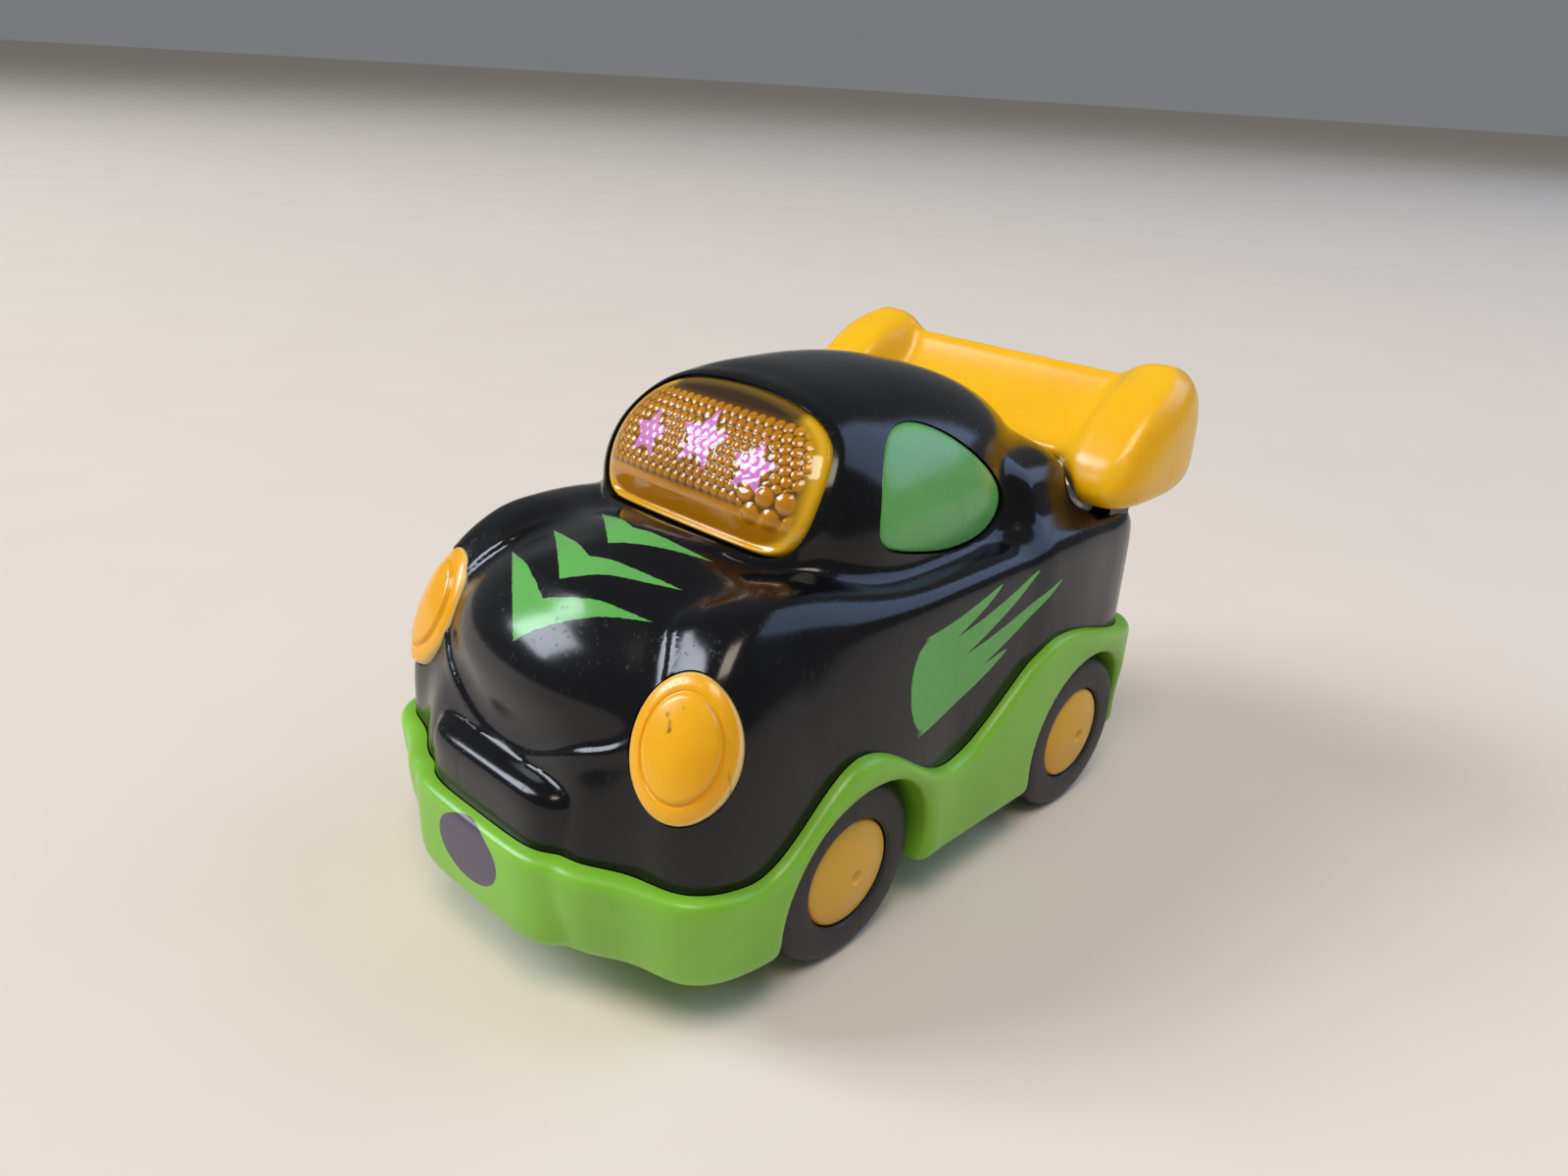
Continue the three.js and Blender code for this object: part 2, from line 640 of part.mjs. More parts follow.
// Upper body: a thin shell with sockets, screw bosses, board posts and the wing's pylons
function bodyShell() {
  let shell = skin(WHOLE, 0).subtract(cavity(SHELL_WALL));
  const inside = cavity(SHELL_WALL / 2);
  for (const { x, y } of bossPlaces()) {
    const boss = rod([x, y, BOSS_TOP_Z + FIT_GAP], [x, y, ROOF_Z], SHELL_BOSS_RADIUS, 8);
    shell = shell.add(boss.intersect(inside));
  }
  for (const { u, v } of boardPosts()) {
    const foot = behindButton(u, v, BOARD_DEPTH - FIT_GAP);
    const post = rod(foot, behindButton(u, v, -BOARD_DEPTH), BOARD_POST_RADIUS, 8);
    shell = shell.add(post.intersect(inside));
  }
  shell = shell.subtract(belowTrim(TRIM_LAP).subtract(bossSleeves()));
  shell = shell.subtract(wheelCylinders(TUB_RADIUS + FIT_GAP, TUB_X - FIT_GAP));
  shell = shell.subtract(buttonColumn(FIT_GAP));
  for (const { x, y } of bossPlaces()) {
    const depth = FLOOR_TOP_Z + SCREW_LENGTH + 2 * FIT_GAP;
    shell = shell.subtract(rod([x, y, FLOOR_TOP_Z], [x, y, depth], SCREW_RADIUS + FIT_GAP, 8));
  }
  for (const { u, v } of boardPosts()) {
    const mouth = behindButton(u, v, BOARD_DEPTH);
    const bottom = behindButton(u, v, BOARD_DEPTH - BOARD_SCREW_LENGTH);
    shell = shell.subtract(rod(mouth, bottom, SCREW_RADIUS + FIT_GAP, 8));
  }
  for (const side of [-1, 1]) {
    const depth = -INSERT_DEPTH - FIT_GAP;
    shell = shell.subtract(plate(headlightColumn(side, -FIT_GAP), fenderName(side), FIT_GAP, depth));
    shell = shell.subtract(plate(windowColumn(side, FIT_GAP), "cabin", FIT_GAP, depth));
    shell = shell.add(pylon(side));
  }
  return shell;
}

// The stretch of each shell boss that hangs below the trim's edge
function bossSleeves() {
  return join(
    bossPlaces().map(({ x, y }) => rod([x, y, BOSS_TOP_Z + FIT_GAP], [x, y, ROOF_Z], SHELL_BOSS_RADIUS, 8)),
  );
}

// The upright that carries one end of the wing, with its pivot hole
function pylon(side) {
  const shape = new THREE.Shape();
  shape.moveTo(PIVOT_Y - PYLON_HALF_LENGTH, SHOULDER_Z - 3 * SHELL_WALL);
  shape.lineTo(PIVOT_Y + PYLON_HALF_LENGTH, SHOULDER_Z - 3 * SHELL_WALL);
  shape.absarc(PIVOT_Y, POD_Z, PYLON_HALF_LENGTH, 0, Math.PI, false);
  shape.closePath();
  const middle = side * POD_X;
  const upright = extrudeAcross(shape, middle - PYLON_THICKNESS / 2, middle + PYLON_THICKNESS / 2, 8);
  const hole = rod([middle - BIG, PIVOT_Y, POD_Z], [middle + BIG, PIVOT_Y, POD_Z], PIN_RADIUS + RUNNING_GAP, 10);
  return upright.subtract(swelling(FORMS.tub, -SHELL_WALL / 2)).subtract(hole);
}

// The battery cover's outline, grown by a distance: a plate with a round lug for its screw
function coverColumn(grow, fromZ, toZ) {
  const halfWidth = BAY_HALF_WIDTH + BAY_SIDE_WALL / 2 + grow;
  const halfLength = BAY_HALF_LENGTH + grow;
  const panel = box(-halfWidth, halfWidth, -halfLength, halfLength, fromZ, toZ);
  const lug = rod([LUG_X, 0, fromZ], [LUG_X, 0, toZ], LUG_RADIUS + grow, 12);
  const neck = box(0, LUG_X, -LUG_RADIUS - grow, LUG_RADIUS + grow, fromZ, toZ);
  return join([panel, lug, neck]);
}

// Lower body: floor, wrap-round trim, wheel tubs, axle bearings, battery bay and bosses
function chassis() {
  const outside = skin(LOWER, TRIM_PROUD);
  const aboveGround = box(-BIG, BIG, -BIG, BIG, FLOOR_Z, BIG);
  const band = outside.subtract(skin(LOWER, FIT_GAP)).intersect(belowTrim(0)).intersect(aboveGround);
  const slab = outside.intersect(box(-BIG, BIG, -BIG, BIG, FLOOR_Z, FLOOR_TOP_Z));
  const tubs = wheelCylinders(TUB_RADIUS, TUB_X).intersect(outside).intersect(aboveGround);
  let whole = join([band, slab, tubs]);
  for (const { y } of wheelPlaces()) {
    for (const side of [-1, 1]) {
      const inner = side * (TUB_X - BEARING_LENGTH);
      whole = whole.add(rod([inner, y, AXLE_Z], [side * TUB_X, y, AXLE_Z], AXLE_RADIUS + BEARING_WALL, 8));
    }
  }
  const bayX = BAY_HALF_WIDTH + BAY_SIDE_WALL;
  const bayY = BAY_HALF_LENGTH + BAY_END_WALL;
  whole = whole.add(box(-bayX, bayX, -bayY, bayY, FLOOR_Z, BAY_TOP_Z));
  const lugBoss = rod([LUG_X, 0, FLOOR_Z], [LUG_X, 0, BOSS_TOP_Z], LUG_RADIUS + FIT_GAP + BOSS_WALL / 2, 10);
  whole = whole.add(lugBoss);
  for (const { x, y } of bossPlaces()) {
    whole = whole.add(rod([x, y, FLOOR_Z], [x, y, BOSS_TOP_Z], BOSS_RADIUS, 10));
  }
  whole = whole.add(speakerRing());
  whole = whole.add(switchSeat());
  whole = whole.subtract(wheelCylinders(ARCH_RADIUS, WELL_X));
  for (const { y } of wheelPlaces()) {
    whole = whole.subtract(rod([-BIG, y, AXLE_Z], [BIG, y, AXLE_Z], AXLE_RADIUS + RUNNING_GAP, 8));
  }
  const bay = box(-BAY_HALF_WIDTH, BAY_HALF_WIDTH, -BAY_HALF_LENGTH, BAY_HALF_LENGTH, 0, BAY_TOP_Z - BAY_ROOF);
  whole = whole.subtract(bay).subtract(coverColumn(FIT_GAP, 0, FLOOR_TOP_Z));
  const coverBore = BOSS_TOP_Z - BAY_ROOF;
  whole = whole.subtract(rod([LUG_X, 0, FLOOR_Z], [LUG_X, 0, coverBore], SCREW_RADIUS + FIT_GAP, 8));
  for (const { x, y } of bossPlaces()) {
    const headRoom = rod([x, y, 0], [x, y, FLOOR_TOP_Z + SCREW_HEAD_HEIGHT], SCREW_HEAD_RADIUS + FIT_GAP, 10);
    const shank = rod([x, y, 0], [x, y, BOSS_TOP_Z + FIT_GAP], SCREW_RADIUS + FIT_GAP, 8);
    whole = whole.subtract(headRoom).subtract(shank);
  }
  whole = whole.subtract(grille());
  return whole.subtract(switchSlot());
}

// Low wall on the floor that locates the speaker
function speakerRing() {
  const inner = SPEAKER_RADIUS + FIT_GAP;
  const top = FLOOR_TOP_Z + FIT_GAP + SPEAKER_FRAME;
  const wall = rod([0, SPEAKER_Y, FLOOR_Z], [0, SPEAKER_Y, top], inner + SPEAKER_RING, 16);
  return wall.subtract(rod([0, SPEAKER_Y, FLOOR_TOP_Z], [0, SPEAKER_Y, BIG], inner, 16));
}

// Slots through the floor below the speaker, longer towards the middle
function grille() {
  const pitch = (2 * GRILLE_SHARE * SPEAKER_RADIUS) / GRILLE_SLOTS;
  const slots = [];
  for (let i = 0; i < GRILLE_SLOTS; i += 1) {
    const y = SPEAKER_Y + (i - (GRILLE_SLOTS - 1) / 2) * pitch;
    const half = GRILLE_SHARE * Math.sqrt(SPEAKER_RADIUS ** 2 - (y - SPEAKER_Y) ** 2);
    slots.push(box(-half, half, y - GRILLE_SLOT / 2, y + GRILLE_SLOT / 2, 0, FLOOR_TOP_Z + FIT_GAP / 2));
  }
  return join(slots);
}

// Low wall on the floor, behind the rear axle, that locates the switch body
function switchSeat() {
  const outer = SWITCH_BODY_HALF + FIT_GAP + SWITCH_WALL;
  const deep = SWITCH_BODY_DEEP + FIT_GAP + SWITCH_WALL;
  const top = FLOOR_TOP_Z + SWITCH_BODY_HEIGHT / 2;
  const wall = box(-outer, outer, SWITCH_Y - deep, SWITCH_Y + deep, FLOOR_Z, top);
  const innerX = SWITCH_BODY_HALF + FIT_GAP;
  const innerY = SWITCH_BODY_DEEP + FIT_GAP;
  return wall.subtract(box(-innerX, innerX, SWITCH_Y - innerY, SWITCH_Y + innerY, FLOOR_TOP_Z, top + 1));
}

function switchSlot() {
  const deep = SWITCH_WIDTH / 2 + FIT_GAP;
  return box(-SWITCH_SLOT_HALF, SWITCH_SLOT_HALF, SWITCH_Y - deep, SWITCH_Y + deep, 0, FLOOR_TOP_Z + FIT_GAP);
}

function switchBody() {
  const bottom = FLOOR_TOP_Z + FIT_GAP;
  const top = bottom + SWITCH_BODY_HEIGHT;
  const block = box(
    -SWITCH_BODY_HALF, SWITCH_BODY_HALF, SWITCH_Y - SWITCH_BODY_DEEP, SWITCH_Y + SWITCH_BODY_DEEP, bottom, top,
  );
  const deep = SWITCH_WIDTH / 4 + FIT_GAP;
  const channelTop = top - SWITCH_WALL;
  return block.subtract(
    box(-SWITCH_SLOT_HALF, SWITCH_SLOT_HALF, SWITCH_Y - deep, SWITCH_Y + deep, 0, channelTop),
  );
}

// The sliding knob at its off end: a thumb in the floor slot and a tongue in the switch body
function switchKnob() {
  const start = -(SWITCH_THUMB + SWITCH_TRAVEL) / 2;
  const end = start + SWITCH_THUMB;
  const bottom = FLOOR_Z - SWITCH_PROUD;
  const thumb = box(start, end, SWITCH_Y - SWITCH_WIDTH / 2, SWITCH_Y + SWITCH_WIDTH / 2, bottom, FLOOR_TOP_Z);
  const tongueTop = FLOOR_TOP_Z + SWITCH_BODY_HEIGHT - SWITCH_WALL;
  const tongue = box(start, end, SWITCH_Y - SWITCH_WIDTH / 4, SWITCH_Y + SWITCH_WIDTH / 4, FLOOR_Z, tongueTop);
  const grooves = [];
  for (let i = 1; i <= SWITCH_GROOVES; i += 1) {
    const x = start + (i * SWITCH_THUMB) / (SWITCH_GROOVES + 1);
    const half = SWITCH_GROOVE / 2;
    grooves.push(box(x - half, x + half, SWITCH_Y - SWITCH_WIDTH, SWITCH_Y + SWITCH_WIDTH, 0, bottom + half));
  }
  return thumb.add(tongue).subtract(join(grooves));
}

function speaker() {
  const bottom = FLOOR_TOP_Z + FIT_GAP;
  const profile = [
    [0, bottom + SPEAKER_EDGE / 2],
    [SPEAKER_MAGNET_RADIUS / 2, bottom + SPEAKER_EDGE],
    [SPEAKER_RADIUS - SPEAKER_EDGE, bottom + SPEAKER_EDGE / 3],
    [SPEAKER_RADIUS - SPEAKER_EDGE, bottom],
    [SPEAKER_RADIUS, bottom],
    [SPEAKER_RADIUS, bottom + SPEAKER_FRAME * 0.5],
    [SPEAKER_MAGNET_RADIUS + 1, bottom + SPEAKER_FRAME],
    [SPEAKER_MAGNET_RADIUS, bottom + SPEAKER_FRAME],
    [SPEAKER_MAGNET_RADIUS, bottom + SPEAKER_HEIGHT],
    [0, bottom + SPEAKER_HEIGHT],
  ];
  const geometry = new THREE.LatheGeometry(profile.map(([r, z]) => new THREE.Vector2(r, z)), 16);
  geometry.rotateX(Math.PI / 2);
  geometry.translate(0, SPEAKER_Y, 0);
  return solid(geometry);
}

function batteryCover() {
  const panel = coverColumn(0, FLOOR_Z, FLOOR_Z + COVER_THICKNESS);
  const head = rod([LUG_X, 0, 0], [LUG_X, 0, FLOOR_Z + SCREW_HEAD_HEIGHT / 2], SCREW_HEAD_RADIUS + FIT_GAP, 10);
  const shank = rod([LUG_X, 0, 0], [LUG_X, 0, BIG], SCREW_RADIUS + FIT_GAP, 8);
  const grips = [];
  for (let i = 0; i < GRIP_COUNT; i += 1) {
    const y = BAY_HALF_LENGTH / 2 + 2 * i * GRIP_WIDTH;
    const half = BAY_HALF_WIDTH / 2;
    grips.push(box(-half, half, y, y + GRIP_WIDTH, 0, FLOOR_Z + COVER_THICKNESS / 3));
  }
  return panel.subtract(head).subtract(shank).subtract(join(grips));
}

// A pan-head screw pointing up
function screw(x, y, headZ, length) {
  const rim = [x, y, headZ + SCREW_HEAD_HEIGHT];
  const head = rod([x, y, headZ], rim, SCREW_HEAD_RADIUS * SCREW_TAPER, 10, SCREW_HEAD_RADIUS);
  return head.add(rod([x, y, headZ], [x, y, headZ + length], SCREW_RADIUS, 6, SCREW_RADIUS * SCREW_TAPER));
}

// A cell lying along the car, its nub towards one end
function cell(x, end) {
  const back = -end * (BAY_HALF_LENGTH - CONTACT_THICKNESS - SPRING_LENGTH - FIT_GAP);
  const shoulder = back + end * CELL_LENGTH;
  const can = rod([x, back, CELL_Z], [x, shoulder, CELL_Z], CELL_RADIUS, 16);
  const tip = shoulder + end * CELL_NUB_LENGTH;
  const nub = rod([x, shoulder - end, CELL_Z], [x, tip, CELL_Z], CELL_NUB_RADIUS, 8);
  return can.add(nub);
}

// A contact plate on an end wall of the bay
function contactPlate(x, end) {
  const wall = end * BAY_HALF_LENGTH - end * FIT_GAP / 2;
  const face = wall - end * CONTACT_THICKNESS;
  const half = CELL_RADIUS * CONTACT_SHARE;
  return box(x - half, x + half, Math.min(wall, face), Math.max(wall, face), CELL_Z - half, CELL_Z + half);
}

// A contact with a tapered coil spring, wound as one wire
function contactSpring(x, end) {
  const face = end * (BAY_HALF_LENGTH - FIT_GAP / 2 - CONTACT_THICKNESS);
  class Coil extends THREE.Curve {
    getPoint(t) {
      const angle = 2 * Math.PI * SPRING_TURNS * t;
      const radius = CELL_RADIUS * THREE.MathUtils.lerp(SPRING_BASE, SPRING_TIP, t);
      const reach = (SPRING_LENGTH - 2 * SPRING_WIRE) * t + SPRING_WIRE / 2;
      const y = face - end * reach;
      return new THREE.Vector3(x + radius * Math.cos(angle), y, CELL_Z + radius * Math.sin(angle));
    }
  }
  const wire = new THREE.ExtrudeGeometry(oval(SPRING_WIRE, SPRING_WIRE), {
    steps: Math.round(7 * SPRING_TURNS), extrudePath: new Coil(), bevelEnabled: false, curveSegments: 2,
  });
  return contactPlate(x, end).add(solid(wire));
}

// Windscreen button: a domed cap with a skirt, a retaining flange and a plunger
function windscreenButton() {
  const flangeFront = -SHELL_WALL - FIT_GAP;
  const flangeBack = flangeFront - BUTTON_FLANGE;
  const cap = plate(buttonColumn(0), "cabin", 0, flangeBack);
  const flange = plate(buttonColumn(BUTTON_FLANGE), "cabin", flangeFront, flangeBack);
  const hollow = buttonColumn(-BUTTON_WALL).intersect(swelling(FORMS.cabin, -BUTTON_WALL));
  const plungerEnd = BOARD_DEPTH - PAD_HEIGHT - 2 * FIT_GAP;
  const stem = rod(behindButton(0, 0, plungerEnd), behindButton(0, 0, -BOARD_DEPTH), PLUNGER_RADIUS, 10);
  const plunger = stem.intersect(swelling(FORMS.cabin, -BUTTON_WALL / 2));
  return cap.add(flange).subtract(hollow).add(plunger);
}

function circuitBoard() {
  const corners = [
    [-BOARD_HALF_WIDTH, -BOARD_POST_V - BOARD_POST_RADIUS],
    [BOARD_HALF_WIDTH, -BOARD_POST_V - BOARD_POST_RADIUS],
    [BOARD_HALF_WIDTH, BUTTON_HALF_HEIGHT * 0.5],
    [BOARD_POST_RADIUS * 1.6, BOARD_POST_V + BOARD_POST_RADIUS],
    [-BOARD_POST_RADIUS * 1.6, BOARD_POST_V + BOARD_POST_RADIUS],
    [-BOARD_HALF_WIDTH, BUTTON_HALF_HEIGHT * 0.5],
  ];
  const back = BOARD_DEPTH + BOARD_THICKNESS;
  let board = extrude(roundedOutline(corners, BOARD_CORNER), BOARD_THICKNESS, buttonMatrix(back), 2);
  const chipRoot = behindButton(0, -CHIP_DROP, back - BOARD_THICKNESS / 2);
  const chipTop = behindButton(0, -CHIP_DROP, back + CHIP_HEIGHT);
  board = board.add(rod(chipRoot, chipTop, CHIP_RADIUS, 10, CHIP_RADIUS * CHIP_TAPER));
  for (const { u, v } of boardPosts()) {
    const near = behindButton(u, v, BOARD_DEPTH - BOARD_THICKNESS);
    const far = behindButton(u, v, back + BOARD_THICKNESS);
    board = board.subtract(rod(near, far, SCREW_RADIUS + FIT_GAP, 8));
  }
  return board;
}

// A short screw through the board into one of the shell's posts
function boardScrew({ u, v }) {
  const under = BOARD_DEPTH + BOARD_THICKNESS + FIT_GAP;
  const top = behindButton(u, v, under + SCREW_HEAD_HEIGHT);
  const head = rod(top, behindButton(u, v, under), SCREW_HEAD_RADIUS * SCREW_TAPER, 8);
  const tip = behindButton(u, v, under - BOARD_SCREW_LENGTH);
  return head.add(rod(behindButton(u, v, under + SCREW_HEAD_HEIGHT / 2), tip, SCREW_RADIUS, 8));
}

// Silicone dome that pushes the button back out
function buttonPad() {
  const front = BOARD_DEPTH - FIT_GAP;
  const profile = [
    [0, 0],
    [PAD_RADIUS, 0],
    [PAD_RADIUS, PAD_LEDGE],
    [PAD_CROWN_RADIUS, PAD_HEIGHT - PAD_LEDGE],
    [PAD_CROWN_RADIUS, PAD_HEIGHT],
    [0, PAD_HEIGHT],
  ];
  const geometry = new THREE.LatheGeometry(profile.map(([r, z]) => new THREE.Vector2(r, z)), 10);
  geometry.rotateX(Math.PI / 2);
  geometry.applyMatrix4(buttonMatrix(front));
  return solid(geometry);
}

function led() {
  const seat = BOARD_DEPTH - FIT_GAP;
  const centre = behindButton(LED_X, 0, seat - LED_HEIGHT + LED_RADIUS);
  const can = rod(behindButton(LED_X, 0, seat), centre, LED_RADIUS, 8);
  const dome = new THREE.SphereGeometry(LED_RADIUS, 8, 6);
  dome.translate(...centre);
  return can.add(solid(dome));
}

// A headlight: an oval insert whose middle swells out past its ring
function headlight(side) {
  const name = fenderName(side);
  const base = plate(headlightColumn(side, 0), name, HEADLIGHT_BULGE / 2, -INSERT_DEPTH);
  const middle = plate(headlightColumn(side, HEADLIGHT_RING), name, HEADLIGHT_BULGE, -INSERT_DEPTH);
  return base.add(middle);
}

function sideWindow(side) {
  return plate(windowColumn(side, 0), "cabin", 0, -INSERT_DEPTH);
}

// Rear wing: a curved blade between two rounded pods, hollowed for the pylons and bored for the pins
function wing() {
  const blade = new THREE.Shape();
  const slope = Math.atan2(WING_REAR_Z - WING_FRONT_Z, WING_REAR_Y - WING_FRONT_Y);
  const away = new THREE.Vector2(Math.sin(slope), -Math.cos(slope)).multiplyScalar(WING_THICKNESS);
  const sag = away.clone().multiplyScalar(0.5);
  const midY = (WING_FRONT_Y + WING_REAR_Y) / 2 + sag.x;
  const midZ = (WING_FRONT_Z + WING_REAR_Z) / 2 + sag.y;
  blade.moveTo(WING_FRONT_Y, WING_FRONT_Z);
  blade.quadraticCurveTo(
    WING_FRONT_Y - away.y / 2, WING_FRONT_Z - WING_THICKNESS, WING_FRONT_Y + away.x, WING_FRONT_Z + away.y,
  );
  blade.quadraticCurveTo(midY + away.x, midZ + away.y, WING_REAR_Y + away.x, WING_REAR_Z + away.y);
  blade.quadraticCurveTo(WING_REAR_Y + away.x, WING_REAR_Z, WING_REAR_Y, WING_REAR_Z);
  blade.quadraticCurveTo(midY, midZ, WING_FRONT_Y, WING_FRONT_Z);
  let whole = extrudeAcross(blade, -POD_X, POD_X, 4);
  for (const side of [-1, 1]) {
    const pod = {
      at: [side * POD_X, POD_Y, POD_Z], half: POD_HALF_WIDTH, front: POD_FRONT, rear: POD_REAR, up: POD_UP,
      down: POD_DOWN, planFront: POD_ROUNDNESS, planRear: POD_ROUNDNESS, section: POD_ROUNDNESS,
      around: 16, rings: 10,
    };
    whole = whole.add(swelling(pod, 0));
  }
  whole = whole.subtract(skin(UNDER_WING, POD_GAP)).subtract(swungBody());
  for (const side of [-1, 1]) {
    const half = PYLON_THICKNESS / 2 + RUNNING_GAP;
    const swing = POD_DOWN * Math.tan(THREE.MathUtils.degToRad(WING_SWING));
    const round = PYLON_HALF_LENGTH + 2 * RUNNING_GAP;
    const slot = new THREE.Shape();
    slot.moveTo(PIVOT_Y - round, POD_Z - POD_DOWN - POD_GAP);
    slot.lineTo(PIVOT_Y + round + swing, POD_Z - POD_DOWN - POD_GAP);
    slot.absarc(PIVOT_Y, POD_Z, round, 0, Math.PI, false);
    slot.closePath();
    whole = whole.subtract(extrudeAcross(slot, side * POD_X - half, side * POD_X + half, 8));
    const end = PIN_LENGTH / 2 + FIT_GAP;
    const middle = side * POD_X;
    const bore = rod([middle - end, PIVOT_Y, POD_Z], [middle + end, PIVOT_Y, POD_Z], PIN_RADIUS + FIT_GAP, 10);
    whole = whole.subtract(bore);
  }
  return whole;
}

// Where the body below the wing comes, seen from the wing, when the wing is flipped right down
function swungBody() {
  const swung = skin(UNDER_WING, POD_GAP).translate([0, -PIVOT_Y, -POD_Z]).rotate([WING_SWING, 0, 0]);
  return swung.translate([0, PIVOT_Y, POD_Z]);
}

function wingPin(side) {
  const inner = side * POD_X - PIN_LENGTH / 2;
  return rod([inner, PIVOT_Y, POD_Z], [inner + PIN_LENGTH, PIVOT_Y, POD_Z], PIN_RADIUS, 10);
}

// A hub: a domed face with a centre pit, stepped where it seats in the tyre, with a blind bore for the axle
function hub(side, y) {
  const inner = TYRE_FACE_X - TYRE_WIDTH;
  const step = inner + TYRE_WIDTH / 2;
  const bore = AXLE_RADIUS + FIT_GAP / 2;
  const profile = [
    [0, inner + AXLE_GRIP],
    [bore, inner + AXLE_GRIP],
    [bore, inner],
    [HUB_RADIUS + HUB_RIM, inner],
    [HUB_RADIUS + HUB_RIM, step],
    [HUB_RADIUS, step],
    [HUB_RADIUS, TYRE_FACE_X - HUB_SINK],
    [(HUB_RADIUS * 2) / 3, TYRE_FACE_X + HUB_DOME / 2],
    [HUB_PIT_RADIUS, TYRE_FACE_X + HUB_DOME],
    [0, TYRE_FACE_X + HUB_DOME - HUB_PIT_DEPTH],
  ];
  const geometry = turnAboutX(profile, HUB_SIDES);
  geometry.scale(side, 1, 1);
  geometry.translate(0, y, AXLE_Z);
  return solid(geometry);
}

// A tyre: a rounded ring stepped to hold the hub's rim, whose tread has a flat on the ground
function tyre(side, y) {
  const inner = TYRE_FACE_X - TYRE_WIDTH;
  const step = inner + TYRE_WIDTH / 2 + FIT_GAP;
  const seat = HUB_RADIUS + FIT_GAP;
  const tread = WHEEL_RADIUS / Math.cos(Math.PI / TYRE_SIDES);
  const profile = [
    [seat + HUB_RIM, inner],
    [tread - TYRE_SHOULDER, inner],
    [tread, inner + TYRE_SHOULDER],
    [tread, TYRE_FACE_X - TYRE_SHOULDER],
    [tread - TYRE_SHOULDER / 3, TYRE_FACE_X - TYRE_SHOULDER / 3],
    [tread - TYRE_SHOULDER, TYRE_FACE_X],
    [seat, TYRE_FACE_X - HUB_SINK],
    [seat, step],
    [seat + HUB_RIM, step],
    [seat + HUB_RIM, inner],
  ];
  const geometry = turnAboutX(profile, TYRE_SIDES);
  geometry.scale(side, 1, 1);
  geometry.translate(0, y, AXLE_Z);
  return solid(geometry);
}

function axle(y) {
  const end = TYRE_FACE_X - TYRE_WIDTH + AXLE_GRIP - FIT_GAP;
  return rod([-end, y, AXLE_Z], [end, y, AXLE_Z], AXLE_RADIUS, 8);
}

// The finished car, moved so that its own middle stands over the origin
const car = new THREE.Group();
car.position.y = -CAR_MIDDLE_Y;

function addPiece(name, finish, shape) {
  const mesh = shape.getMesh();
  const geometry = new THREE.BufferGeometry();
  geometry.setAttribute("position", new THREE.BufferAttribute(mesh.vertProperties, 3));
  geometry.setIndex(new THREE.BufferAttribute(mesh.triVerts, 1));
  geometry.computeVertexNormals();
  const piece = new THREE.Mesh(geometry, new THREE.MeshStandardMaterial(FINISH[finish]));
  piece.name = name;
  car.add(piece);
}

addPiece("body_shell", "black", bodyShell());
addPiece("chassis", "green", chassis());
addPiece("windscreen_button", "amber", windscreenButton());
addPiece("button_pad", "rubber", buttonPad());
addPiece("circuit_board", "board", circuitBoard());
addPiece("led", "clear", led());
for (const post of boardPosts()) {
  addPiece(`board_screw_${post.name}`, "steel", boardScrew(post));
}
for (const [name, side] of [["left", 1], ["right", -1]]) {
  addPiece(`headlight_${name}`, "orange", headlight(side));
  addPiece(`side_window_${name}`, "leaf", sideWindow(side));
  addPiece(`wing_pin_${name}`, "steel", wingPin(side));
  addPiece(`battery_${name}`, "cell", cell(side * CELL_X, side));
  addPiece(`contact_plate_${name}`, "steel", contactPlate(side * CELL_X, side));
  addPiece(`contact_spring_${name}`, "steel", contactSpring(side * CELL_X, -side));
  for (const { axle: which, y } of wheelPlaces()) {
    addPiece(`hub_${which}_${name}`, "hub", hub(side, y));
    addPiece(`tyre_${which}_${name}`, "tyre", tyre(side, y));
  }
}
addPiece("wing", "yellow", wing());
for (const { axle: which, y } of wheelPlaces()) {
  addPiece(`axle_${which}`, "steel", axle(y));
}
addPiece("battery_cover", "green", batteryCover());
const COVER_SCREW_Z = FLOOR_Z - SCREW_HEAD_HEIGHT / 2 - FIT_GAP;
addPiece("battery_cover_screw", "steel", screw(LUG_X, 0, COVER_SCREW_Z, BOSS_HEIGHT));
for (const { name, x, y } of bossPlaces()) {
  const headZ = FLOOR_TOP_Z - FIT_GAP;
  addPiece(`body_screw_${name}`, "steel", screw(x, y, headZ, SCREW_LENGTH));
}
addPiece("speaker", "paper", speaker());
addPiece("switch_body", "paper", switchBody());
addPiece("switch_knob", "paper", switchKnob());

export default car;
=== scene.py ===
"""Looks of a small battery-powered toy race car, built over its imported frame.

The forms are worked in millimetres about a datum on the ground, midway between the axles. Each finished
mesh is then set into the frame, in metres.
"""

import json
import logging
import math
from collections.abc import Callable, Sequence
from dataclasses import dataclass
from enum import Enum

import bmesh
import bpy
import numpy as np
from mathutils import Matrix, Vector


